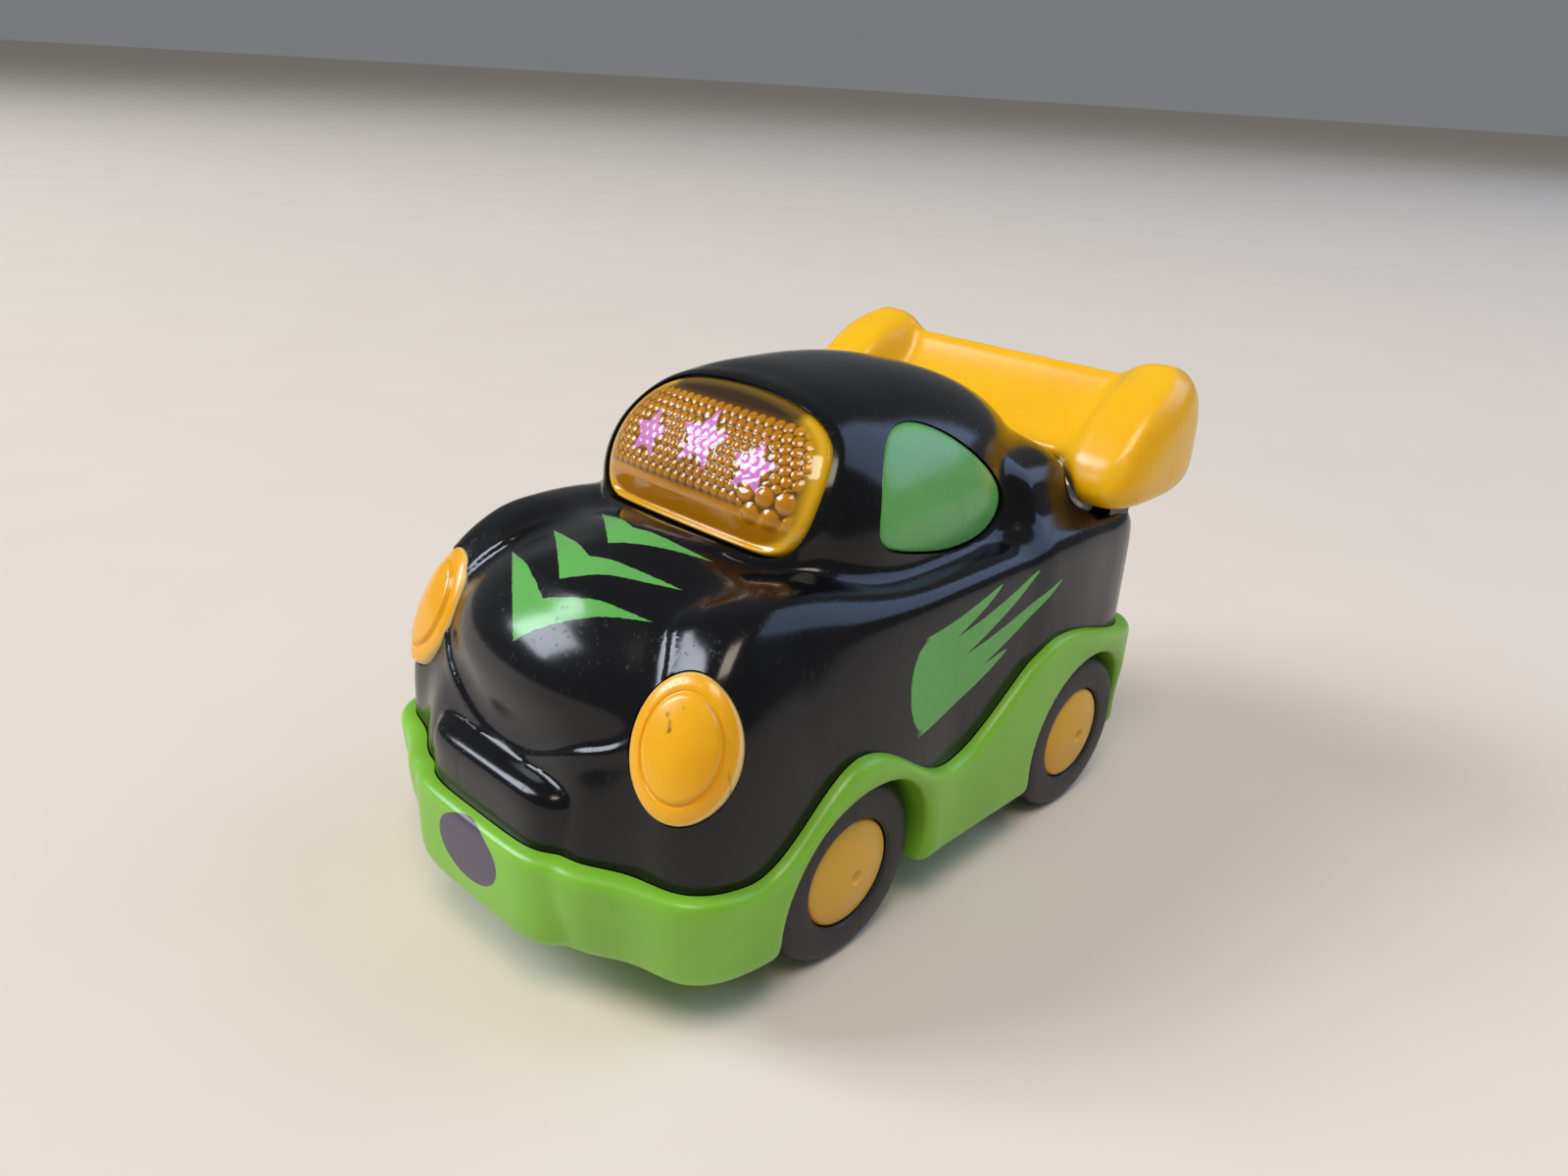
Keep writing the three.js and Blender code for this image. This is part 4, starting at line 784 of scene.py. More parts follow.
@dataclass(frozen=True)
class PrintedBlack(Finish):
    """Glossy black moulding with prints in leaf green: three vees on the hood and a flame on each flank."""

    ink: str = "63AE55"
    vees: tuple[Chevron, ...] = (
        Chevron(-56.3, -51.8, 14.2, -46.5),
        Chevron(-49.4, -44.9, 12.9, -40.8),
        Chevron(-42.0, -38.0, 11.2, -34.2),
    )
    tongues: tuple[Tongue, ...] = (
        Tongue(-17.0, 32.0, 21.0, 0.0, 3.6, 2.5),
        Tongue(-18.0, 34.8, 34.0, 0.4, 8.0, 2.8),
        Tongue(-17.0, 38.2, 27.0, 1.8, 6.0, 2.6),
        Tongue(-16.0, 41.2, 17.0, 2.6, 2.4, 2.0),
    )
    root: tuple[float, float, float, float] = (-14.6, 36.4, 4.2, 6.6)
    taper: float = 0.62
    hood_foot: float = 40.0
    flank_x: float = 24.0
    ragged: float = 0.35
    ragged_size: float = 0.8
    ink_edge: float = 0.08

    def colouring(self, tree: bpy.types.NodeTree, place: Socket) -> Socket:
        """The black with its prints.

        Args:
            tree: The node tree.
            place: Object coordinates.

        Returns:
            The colour's socket.
        """
        x, y, z = in_mm(tree, place)
        fray = {"Vector": place, "Scale": per_mm(self.ragged_size), "Detail": 3.0}
        ragged = add_node(tree, "TexNoise", fray)
        y = add_node(tree, "Math", {0: ragged, 1: self.ragged, 2: y}, operation="MULTIPLY_ADD")
        wide = add_node(tree, "Math", {0: x}, operation="ABSOLUTE")
        vees = self.largest(tree, [self.vee(tree, vee, wide, y) for vee in self.vees])
        on_hood = add_node(tree, "Math", {0: z, 1: self.hood_foot}, operation="GREATER_THAN")
        flames = [self.tongue(tree, tongue, y, z) for tongue in self.tongues]
        flame = self.largest(tree, [*flames, self.flame_root(tree, y, z)])
        on_flank = add_node(tree, "Math", {0: wide, 1: self.flank_x}, operation="GREATER_THAN")
        under = super().colouring(tree, place)
        for depth, where in ((vees, on_hood), (flame, on_flank)):
            ink = add_node(tree, "MapRange", {"Value": depth, "From Min": 0.0, "From Max": self.ink_edge})
            share = add_node(tree, "Math", {0: ink, 1: where}, operation="MULTIPLY")
            under = add_node(tree, "Mix", {0: share, 6: under, 7: colour(self.ink)}, out=2, data_type="RGBA")
        return under

    def largest(self, tree: bpy.types.NodeTree, depths: Sequence[Socket]) -> Socket:
        """The greatest of several depths.

        Args:
            tree: The node tree.
            depths: Sockets with depths inside each shape.

        Returns:
            The greatest depth's socket.
        """
        total = depths[0]
        for depth in depths[1:]:
            total = add_node(tree, "Math", {0: total, 1: depth}, operation="MAXIMUM")
        return total

    def vee(self, tree: bpy.types.NodeTree, vee: Chevron, wide: Socket, y: Socket) -> Socket:
        """Depth inside one vee.

        Args:
            tree: The node tree.
            vee: The vee.
            wide: Distance from the car's middle plane.
            y: Place along the car.

        Returns:
            The depth's socket, positive inside.
        """
        share = add_node(tree, "Math", {0: wide, 1: 1 / vee.arm_x}, operation="MULTIPLY")
        low, high = (
            add_node(tree, "Math", {0: share, 1: vee.arm_y - start, 2: start}, operation="MULTIPLY_ADD")
            for start in (vee.tip, vee.notch)
        )
        behind = add_node(tree, "Math", {0: y, 1: low}, operation="SUBTRACT")
        before = add_node(tree, "Math", {0: high, 1: y}, operation="SUBTRACT")
        return add_node(tree, "Math", {0: behind, 1: before}, operation="MINIMUM")

    def tongue(self, tree: bpy.types.NodeTree, tongue: Tongue, y: Socket, z: Socket) -> Socket:
        """Depth inside one tongue of flame.

        Args:
            tree: The node tree.
            tongue: The tongue.
            y: Place along the car.
            z: Height.

        Returns:
            The depth's socket, positive inside.
        """
        along = {0: y, 1: 1 / tongue.run, 2: -tongue.y / tongue.run}
        share = add_node(tree, "Math", along, operation="MULTIPLY_ADD")
        bend = add_node(tree, "Math", {0: share, 1: tongue.bow, 2: tongue.climb}, operation="MULTIPLY_ADD")
        middle = add_node(tree, "Math", {0: share, 1: bend, 2: tongue.z}, operation="MULTIPLY_ADD")
        off = add_node(tree, "Math", {0: z, 1: middle}, operation="SUBTRACT")
        away = add_node(tree, "Math", {0: off}, operation="ABSOLUTE")
        rest = add_node(tree, "Math", {0: 1.0, 1: share}, operation="SUBTRACT", use_clamp=True)
        taper = add_node(tree, "Math", {0: rest, 1: self.taper}, operation="POWER")
        half = add_node(tree, "Math", {0: taper, 1: tongue.half}, operation="MULTIPLY")
        depth = add_node(tree, "Math", {0: half, 1: away}, operation="SUBTRACT")
        return add_node(tree, "Math", {0: depth, 1: share}, operation="MINIMUM")

    def flame_root(self, tree: bpy.types.NodeTree, y: Socket, z: Socket) -> Socket:
        """Depth inside the rounded root that the tongues spring from.

        Args:
            tree: The node tree.
            y: Place along the car.
            z: Height.

        Returns:
            The depth's socket, positive inside.
        """
        middle_y, middle_z, half_y, half_z = self.root
        along = add_node(tree, "Math", {0: y, 1: 1 / half_y, 2: -middle_y / half_y}, operation="MULTIPLY_ADD")
        tall = add_node(tree, "Math", {0: z, 1: 1 / half_z, 2: -middle_z / half_z}, operation="MULTIPLY_ADD")
        square = add_node(tree, "Math", {0: tall, 1: tall}, operation="MULTIPLY")
        total = add_node(tree, "Math", {0: along, 1: along, 2: square}, operation="MULTIPLY_ADD")
        return add_node(tree, "Math", {0: 1.0, 1: total}, operation="SUBTRACT")


@dataclass(frozen=True)
class BadgedLime(Finish):
    """Satin lime moulding with a bare dark oval printed on the bumper."""

    ink: str = "4A4058"
    middle_z: float = 17.8
    half_x: float = 6.2
    half_z: float = 4.3
    back_y: float = -50.0
    ink_edge: float = 1.03

    def colouring(self, tree: bpy.types.NodeTree, place: Socket) -> Socket:
        """The lime with its oval.

        Args:
            tree: The node tree.
            place: Object coordinates.

        Returns:
            The colour's socket.
        """
        x, y, z = in_mm(tree, place)
        height = {0: z, 1: 1 / self.half_z, 2: -self.middle_z / self.half_z}
        tall = add_node(tree, "Math", height, operation="MULTIPLY_ADD")
        across = add_node(tree, "Math", {0: x, 1: 1 / self.half_x}, operation="MULTIPLY")
        square = add_node(tree, "Math", {0: tall, 1: tall}, operation="MULTIPLY")
        total = add_node(tree, "Math", {0: across, 1: across, 2: square}, operation="MULTIPLY_ADD")
        ink = add_node(tree, "MapRange", {"Value": total, "From Min": self.ink_edge, "From Max": 1.0})
        front = add_node(tree, "Math", {0: y, 1: self.back_y}, operation="LESS_THAN")
        share = add_node(tree, "Math", {0: ink, 1: front}, operation="MULTIPLY")
        under = super().colouring(tree, place)
        return add_node(tree, "Mix", {0: share, 6: under, 7: colour(self.ink)}, out=2, data_type="RGBA")


@dataclass(frozen=True)
class RimmedEnamel(Finish):
    """Enamel on a raised plate, paler along its rim and scuffed dark here and there."""

    # A paler tone, laid along the plate's rim
    rim: str = "F6DC96"
    rim_span: tuple[float, float] = (0.95, 0.985)
    rim_wear: float = 0.75
    scuff: str = "4A3410"
    scuff_size: float = 2.4
    scuff_turn: tuple[float, float, float] = (0.4, 0.6, 0.0)
    scuff_draw: float = 0.4
    scuff_span: tuple[float, float] = (0.68, 0.72)
    scuff_wear: float = 0.7

    def colouring(self, tree: bpy.types.NodeTree, place: Socket) -> Socket:
        """The enamel, paler along its rim and with its dark scuffs.

        Args:
            tree: The node tree.
            place: Object coordinates.

        Returns:
            The colour's socket.
        """
        under = super().colouring(tree, place)
        share = add_node(tree, "Attribute", {}, out="Fac", attribute_name="share")
        run = {"Vector": place, "Rotation": self.scuff_turn, "Scale": (1, 1, self.scuff_draw)}
        slant = add_node(tree, "Mapping", run)
        rub = add_node(tree, "TexNoise", {"Vector": slant, "Scale": per_mm(self.scuff_size), "Detail": 5.0})
        # The rim is laid paler toward its edge, and dark scuffs are laid in from stretched noise
        for value, (low, high), wear, code in (
            (share, self.rim_span, self.rim_wear, self.rim),
            (rub, self.scuff_span, self.scuff_wear, self.scuff),
        ):
            span = {"Value": value, "From Min": low, "From Max": high, "To Max": wear}
            mark = add_node(tree, "MapRange", span)
            under = add_node(tree, "Mix", {0: mark, 6: under, 7: colour(code)}, out=2, data_type="RGBA")
        return under


@dataclass(frozen=True)
class Star:
    """A five-pointed star on the windscreen: its middle in the screen's plane and its radius."""

    u: float
    v: float
    radius: float


@dataclass(frozen=True)
class StarredAmber(Finish):
    """Amber clear plastic, beaded, with pink stars and a dark strip along the top."""

    pink: str = "EB96DC"
    strip: str = "2A1A12"
    # Painted glow, laid along the screen's cut edge
    edge: str = "FFC81E"
    # Painted shade, laid in the seams between the beads
    seam: str = "4E2A03"
    clearness: float = 0.25
    waist: float = 0.45
    stars: tuple[Star, ...] = (Star(-9.8, 0.4, 3.9), Star(0.0, 1.8, 4.6), Star(9.8, 0.4, 3.9))
    strip_u: float = 11.0
    strip_v: float = 7.0
    strip_fade: tuple[float, float] = (1.5, 0.8)
    strip_depth: float = 0.8
    seam_span: tuple[float, float] = (0.4, 0.02)
    seam_depth: float = 0.85
    bead_foot: tuple[float, float] = (-5.0, -4.5)
    edge_span: tuple[float, float] = (0.86, 0.95)
    ink_edge: float = 0.08

    def dress(self, tree: bpy.types.NodeTree, shader: bpy.types.Node, place: Socket) -> None:
        """Links the finish and lets light through."""
        super().dress(tree, shader, place)
        shader.inputs["Transmission Weight"].default_value = self.clearness

    def flat(self, tree: bpy.types.NodeTree, place: Socket) -> tuple[Socket, Socket]:
        """Coordinates in the screen's plane, in millimetres.

        Args:
            tree: The node tree.
            place: Object coordinates.

        Returns:
            Sockets for the places across and up.
        """
        plane = Windscreen().plane
        x, y, z = in_mm(tree, place)
        shift = -plane.middle.dot(plane.upward)
        part = add_node(tree, "Math", {0: y, 1: plane.upward.y, 2: shift}, operation="MULTIPLY_ADD")
        return x, add_node(tree, "Math", {0: z, 1: plane.upward.z, 2: part}, operation="MULTIPLY_ADD")

    def colouring(self, tree: bpy.types.NodeTree, place: Socket) -> Socket:
        """The amber with painted shade between its beads, its stars, its strip and a painted glow along its
        edge.

        Args:
            tree: The node tree.
            place: Object coordinates.

        Returns:
            The colour's socket.
        """
        u, v = self.flat(tree, place)
        under = super().colouring(tree, place)
        # Painted shade: the seams between the beads are darkened, above the beads' foot
        dome = add_node(tree, "Attribute", {}, out="Fac", attribute_name="dome")
        low, high = self.seam_span
        painted_seams = {"Value": dome, "From Min": low, "From Max": high, "To Max": self.seam_depth}
        low, high = self.bead_foot
        beaded = add_node(tree, "MapRange", {"Value": v, "From Min": low, "From Max": high})
        painted_shade = add_node(tree, "Math", {0: add_node(tree, "MapRange", painted_seams), 1: beaded}, operation="MULTIPLY")
        under = add_node(tree, "Mix", {0: painted_shade, 6: under, 7: colour(self.seam)}, out=2, data_type="RGBA")
        # Painted glow: the plate is brightened toward its cut edge
        share = add_node(tree, "Attribute", {}, out="Fac", attribute_name="share")
        low, high = self.edge_span
        painted_glow = add_node(tree, "MapRange", {"Value": share, "From Min": low, "From Max": high})
        under = add_node(tree, "Mix", {0: painted_glow, 6: under, 7: colour(self.edge)}, out=2, data_type="RGBA")
        for star in self.stars:
            ink = self.star(tree, star, u, v)
            under = add_node(tree, "Mix", {0: ink, 6: under, 7: colour(self.pink)}, out=2, data_type="RGBA")
        fade_u, fade_v = self.strip_fade
        low, high = self.strip_v, self.strip_v + fade_v
        top = {"Value": v, "From Min": low, "From Max": high, "To Max": self.strip_depth}
        wide = add_node(tree, "Math", {0: u}, operation="ABSOLUTE")
        middle = {"Value": wide, "From Min": self.strip_u + fade_u, "From Max": self.strip_u}
        strip = {i: add_node(tree, "MapRange", span) for i, span in enumerate((top, middle))}
        shade = add_node(tree, "Math", strip, operation="MULTIPLY")
        return add_node(tree, "Mix", {0: shade, 6: under, 7: colour(self.strip)}, out=2, data_type="RGBA")

    def star(self, tree: bpy.types.NodeTree, star: Star, u: Socket, v: Socket) -> Socket:
        """The share of ink of one star.

        Args:
            tree: The node tree.
            star: The star.
            u: Place across the screen.
            v: Place up the screen.

        Returns:
            The share's socket.
        """
        fifth = math.pi / 5
        inner = self.waist * star.radius
        lean = math.atan2(star.radius - inner * math.cos(fifth), inner * math.sin(fifth))
        right = add_node(tree, "Math", {0: u, 1: star.u}, operation="SUBTRACT")
        above = add_node(tree, "Math", {0: v, 1: star.v}, operation="SUBTRACT")
        turn = add_node(tree, "Math", {0: right, 1: above}, operation="ARCTAN2")
        fold = add_node(tree, "Math", {0: turn, 1: fifth}, operation="PINGPONG")
        off = add_node(tree, "Math", {0: fold, 1: lean}, operation="SUBTRACT")
        cosine = add_node(tree, "Math", {0: off}, operation="COSINE")
        square = add_node(tree, "Math", {0: above, 1: above}, operation="MULTIPLY")
        total = add_node(tree, "Math", {0: right, 1: right, 2: square}, operation="MULTIPLY_ADD")
        reach = add_node(tree, "Math", {0: total}, operation="SQRT")
        near = add_node(tree, "Math", {0: reach, 1: cosine}, operation="MULTIPLY")
        limit = star.radius * math.cos(lean)
        fade = {"Value": near, "From Min": limit, "From Max": limit - self.ink_edge}
        return add_node(tree, "MapRange", fade)


# Mirror-smooth ABS: deep black, so that the room's light shows as crisp bluish streaks on it
BLACK_ABS = PrintedBlack(
    "Glossy black ABS, printed", "black_gloss", "0A0A0C", "101013", 0.16, 0.2, 1.4, 0.005, 1.42
)
# Dyed through and satin: light sinks in a little and the edges look soft
LIME_ABS = BadgedLime(
    "Satin lime ABS, moulded", "green_plastic", "82C234", "78B630", 0.32, 0.12, 0.8, 0.01, glow=0.15
)
# Dyed through, half gloss: warm in the folds where it lights itself
YELLOW_ABS = Finish(
    "Yellow ABS, moulded", "yellow_plastic", "FBC00A", "F7B808", 0.27, 0.1, 1.0, 0.008, glow=0.15
)
# A coat of enamel: smooth, paler along its rim, with small dark rubs
ORANGE_ENAMEL = RimmedEnamel(
    "Orange-yellow enamel on ABS", "orange_plastic", "F2B016", "EBA612", 0.22, 0.15, 0.6, 0.01
)
# A coat of enamel that is seldom touched: smooth, with a soft gloss
LEAF_ENAMEL = Finish("Leaf-green enamel on ABS", "green_window", "5FA65A", "6DB562", 0.24, 0.15, 0.8, 0.008)
# Clear plastic dyed amber, with a painted glow along its cut edge and painted shade in the seams between its
# beads
AMBER_CLEAR = StarredAmber("Amber polystyrene, clear", "amber_lens", "DB9410", "C07C0C", 0.09, 0.1, ior=1.59)
# Soft vinyl: dull, with a broad sheen on the shoulder
TYRE_VINYL = Finish("Soft black vinyl, moulded", "tyre_black", "17171A", "1E1E22", 0.48, 0.12, 0.5, 0.012)
# Thin dull enamel
HUB_ENAMEL = Finish("Dull yellow enamel", "hub_yellow", "E8B436", "DCA42C", 0.4, 0.2, 0.5, 0.015)
# Plated steel: a cool, slightly cloudy mirror
ZINC_STEEL = Finish("Zinc-plated steel", "steel", "B9BCC0", "9EA2A8", 0.32, 0.2, 0.4, 0.008, 1.5, 1.0)
# Grained moulding: dark with a broad dull sheen
DARK_ABS = Finish("Dark ABS, grained", "dark_plastic", "26262A", "303034", 0.45, 0.15, 0.5, 0.012)
# Shrunk film: even colour with a slight gloss
CELL_SLEEVE = Finish("Shrunk film sleeve", "cell_jacket", "3A6FA8", "335F92", 0.35, 0.15, 0.8, 0.008)
# Lacquered board: flat green with a slight ripple
BOARD_MASK = Finish("Green solder mask", "board_green", "2F6B3C", "255C33", 0.4, 0.1, 0.4, 0.015)
# Soft rubber: pale and matt
SILICONE = Finish("Pale silicone rubber", "pad_rubber", "D8D8D4", "CACAC4", 0.6, 0.1, 0.4, 0.015, 1.41)
# Cast resin: pale with a wet gloss
LED_RESIN = Finish("Clear epoxy resin", "led_clear", "F2F2EE", "E4E6E6", 0.12, 0.05, 0.8, 0.004, 1.54)
FINISHES = (
    BLACK_ABS, LIME_ABS, YELLOW_ABS, ORANGE_ENAMEL, LEAF_ENAMEL, AMBER_CLEAR, TYRE_VINYL, HUB_ENAMEL,
    ZINC_STEEL, DARK_ABS, CELL_SLEEVE, BOARD_MASK, SILICONE, LED_RESIN,
)


# The car's forms


@dataclass(frozen=True)
class BodyForms:
    """The swelling forms that run together into the body, and how softly they do."""

    cabin: Swelling = Swelling((0, -8, 52), 25, 22.5, 38, 19.6, 30, 3.5, 2.5, 2.3)
    deck: Swelling = Swelling((0, 14, 46), 26.5, 9, 16, 14, 30, 2, 4, 5)
    hood: Swelling = Swelling((0, -38, 38.9), 26, 20.3, 20, 13.9, 26, 2.1, 2, 1.8)
    tub: Swelling = Swelling((0, -9, 24), 31, 40, 52.5, 25.3, 30, 2.4, 10, 16)
    nose: Swelling = Swelling((0, -40, 19.9), 17.6, 20.1, 14, 32, 30, 6, 2.2, 1.7)
    lip: Swelling = Swelling((0, -49, 22), 14.5, 13.2, 12, 8.3, 12, 5, 4, 8)
    fender: Swelling = Swelling((21.8, -36, 24), 10.5, 19.5, 30, 27.5, 30, 3.2, 2.4, 2.2)
    soft: float = 7.0
    saddle: float = 9.0
    belt: float = 3.0
    valley: float = 11.0
    tight: float = 1.3
    cowl: float = 6.0
    cowl_y: tuple[float, float] = (-44.0, -34.0)
    lip_edge: float = 0.8
    bead_reach: float = 1.7
    bead_width: float = 0.5
    bead: float = 0.28

    def beside(self, points: np.ndarray) -> np.ndarray:
        """Points folded onto the car's left half."""
        folded = points.copy()
        folded[:, 0] = np.abs(folded[:, 0])
        return folded

    def lower(self, points: np.ndarray, offset: float) -> np.ndarray:
        """Distances from the lower body, which the trim wraps.

        Args:
            points: Points, one a row.
            offset: How far the skin is moved out.

        Returns:
            One distance for each point.
        """
        fender = self.fender.distance(self.beside(points), offset)
        sides = blend(self.tub.distance(points, offset), fender, self.soft)
        whole = blend(sides, self.nose.distance(points, offset), self.valley)
        return blend(whole, self.lip.distance(points, offset), self.lip_edge)

    def whole(self, points: np.ndarray) -> np.ndarray:
        """Distances from the whole body's skin.

        Args:
            points: Points, one a row.

        Returns:
            One distance for each point.
        """
        hood = self.hood.distance(points)
        base = blend(self.lower(points, 0.0), self.deck.distance(points), self.saddle)
        base = blend(base, self.cabin.distance(points), self.belt)
        cowl = ease(points[:, 1], *self.cowl_y)
        base = base - self.bead * (1 - cowl) * hump(hood - self.bead_reach, self.bead_width)
        return blend(base, hood, self.tight + self.cowl * cowl)

    def seeds(self, offset: float, lower_only: bool) -> list[bpy.types.Object]:
        """Rough meshes of the forms.

        Args:
            offset: How far each skin is moved out.
            lower_only: Leaves out the cabin, the deck and the hood.

        Returns:
            The mesh objects.
        """
        forms = [self.tub, self.nose, self.lip]
        if not lower_only:
            forms += [self.cabin, self.deck, self.hood]
        items = [form.seed(offset) for form in forms]
        return items + [mirrored(self.fender.seed(offset), side) for side in Side]


FORMS = BodyForms()


@dataclass(frozen=True)
class TrimLine:
    """The wavy upper edge of the green trim, as crests and dips with smooth runs between."""

    stations: tuple[tuple[float, float], ...] = (
        (-75.0, 22.3),
        (-60.0, 22.3),
        (-47.0, 21.6),
        (-29.0, 31.8),
        (-8.0, 22.0),
        (17.5, 33.6),
        (42.0, 28.5),
        (75.0, 28.5),
    )
    steps: int = 241

    def height(self, y: np.ndarray) -> np.ndarray:
        """Heights of the edge along the car.

        Args:
            y: Places along the car.

        Returns:
            One height for each place.
        """
        places, heights = np.array(self.stations).T
        index = np.clip(np.searchsorted(places, y) - 1, 0, len(places) - 2)
        eased = ease(y, places[index], places[index + 1])
        return heights[index] + (heights[index + 1] - heights[index]) * eased

    def distance(self, points: np.ndarray) -> np.ndarray:
        """Distances above the edge.

        Args:
            points: Points, one a row.

        Returns:
            One distance for each point, negative below the edge.
        """
        y = points[:, 1]
        height = self.height(y)
        rise = (self.height(y + SLOPE_RUN) - height) / SLOPE_RUN
        return (points[:, 2] - height) / np.sqrt(1 + rise * rise)

    def below(self, drop: float) -> bpy.types.Object:
        """A solid of everything below the edge.

        Args:
            drop: How far the edge is lowered.

        Returns:
            The solid object.
        """
        places = np.linspace(-FAR, FAR, self.steps)
        edge = [Vector((y, z - drop)) for y, z in zip(places, self.height(places))]
        outline = [Vector((-FAR, -FAR)), Vector((FAR, -FAR)), *reversed(edge)]
        return column(outline, side_plane(), -FAR, FAR)


TRIM = TrimLine()


# Sub-assemblies


def note_values(item: bpy.types.Object, name: str, values: np.ndarray) -> None:
    """Keeps one value for each of a mesh's points, for its finish to read."""
    layer = item.data.attributes.new(name, "FLOAT", "POINT")
    layer.data.foreach_set("value", values.astype(np.float32))


def dished(
    plane: Plane,
    reach: Field,
    profile: Sequence[tuple[float, float]],
    skin: Field,
    sides: int = 128,
    level: float = 0.0,
) -> bpy.types.Object:
    """A plate cut to an outline and bent over a skin.

    Args:
        plane: The plane that the outline is drawn in.
        reach: The outline's distance from the plane's middle, for each angle.
        profile: Pairs of share of that distance and height over the skin, from the middle round to the back.
        skin: The field whose skin the plate follows.
        sides: How many steps the outline has.
        level: How far the plate's face is flattened, from nought to one.

    Returns:
        The plate, with its shares as an attribute.
    """
    item = turned("plate", profile, Matrix.Identity(4), sides)
    x, y, lift = points_of(item).T
    share = np.hypot(x, y)
    angle = np.arctan2(y, x)
    stretch = reach(angle) * share
    flat = np.outer(stretch * np.cos(angle), plane.across) + np.outer(stretch * np.sin(angle), plane.upward)
    flat += np.array(plane.middle)
    outward = np.array(plane.outward)
    height = np.zeros(len(flat))
    for _ in range(DISH_ROUNDS):
        value, gradient = slope(skin, flat + np.outer(height, outward))
        height -= np.clip(value / np.maximum(gradient @ outward, LEAST_SLOPE), -DISH_STEP, DISH_STEP)
    height += level * np.clip(1 - lift / lift.min(), 0, 1) * (height.mean() - height)
    item.data.vertices.foreach_set("co", (flat + np.outer(height + lift, outward)).ravel())
    note_values(item, "share", share)
    item.data.update()
    return item


def oval_reach(half_u: float, half_v: float) -> Field:
    """The outline of an oval, as distances from its middle by angle."""
    return lambda angle: half_u * half_v / np.hypot(half_v * np.cos(angle), half_u * np.sin(angle))


@dataclass(frozen=True)
class BeadField:
    """A field of small domes moulded on a plate: their pitch and rise, and the field's limits."""

    pitch: float
    rise: float
    low_u: float
    high_u: float
    low_v: float
    high_v: float

    def domes(self, u: np.ndarray, v: np.ndarray) -> tuple[np.ndarray, np.ndarray]:
        """How high points stand on the domes, which lie in staggered rows.

        Args:
            u: Places across the plate.
            v: Places up the plate.

        Returns:
            Heights from nought to one, and whether each point's dome lies in the field.
        """
        # Staggered rows of round domes lie this far apart
        tall = self.pitch * math.sqrt(0.75)
        best, middle_u, middle_v = np.full(u.shape, np.inf), u, v
        for row in (np.floor(v / tall), np.floor(v / tall) + 1):
            stagger = 0.5 * (row % 2)
            near_u = (np.round(u / self.pitch - stagger) + stagger) * self.pitch
            near_v = row * tall
            away = np.hypot(u - near_u, v - near_v)
            closer = away < best
            middle_u, middle_v = np.where(closer, near_u, middle_u), np.where(closer, near_v, middle_v)
            best = np.minimum(best, away)
        inside_u = (middle_u > self.low_u) & (middle_u < self.high_u)
        inside_v = (middle_v > self.low_v) & (middle_v < self.high_v)
        return np.clip(1 - (best / (0.5 * self.pitch)) ** 2, 0, 1), inside_u & inside_v


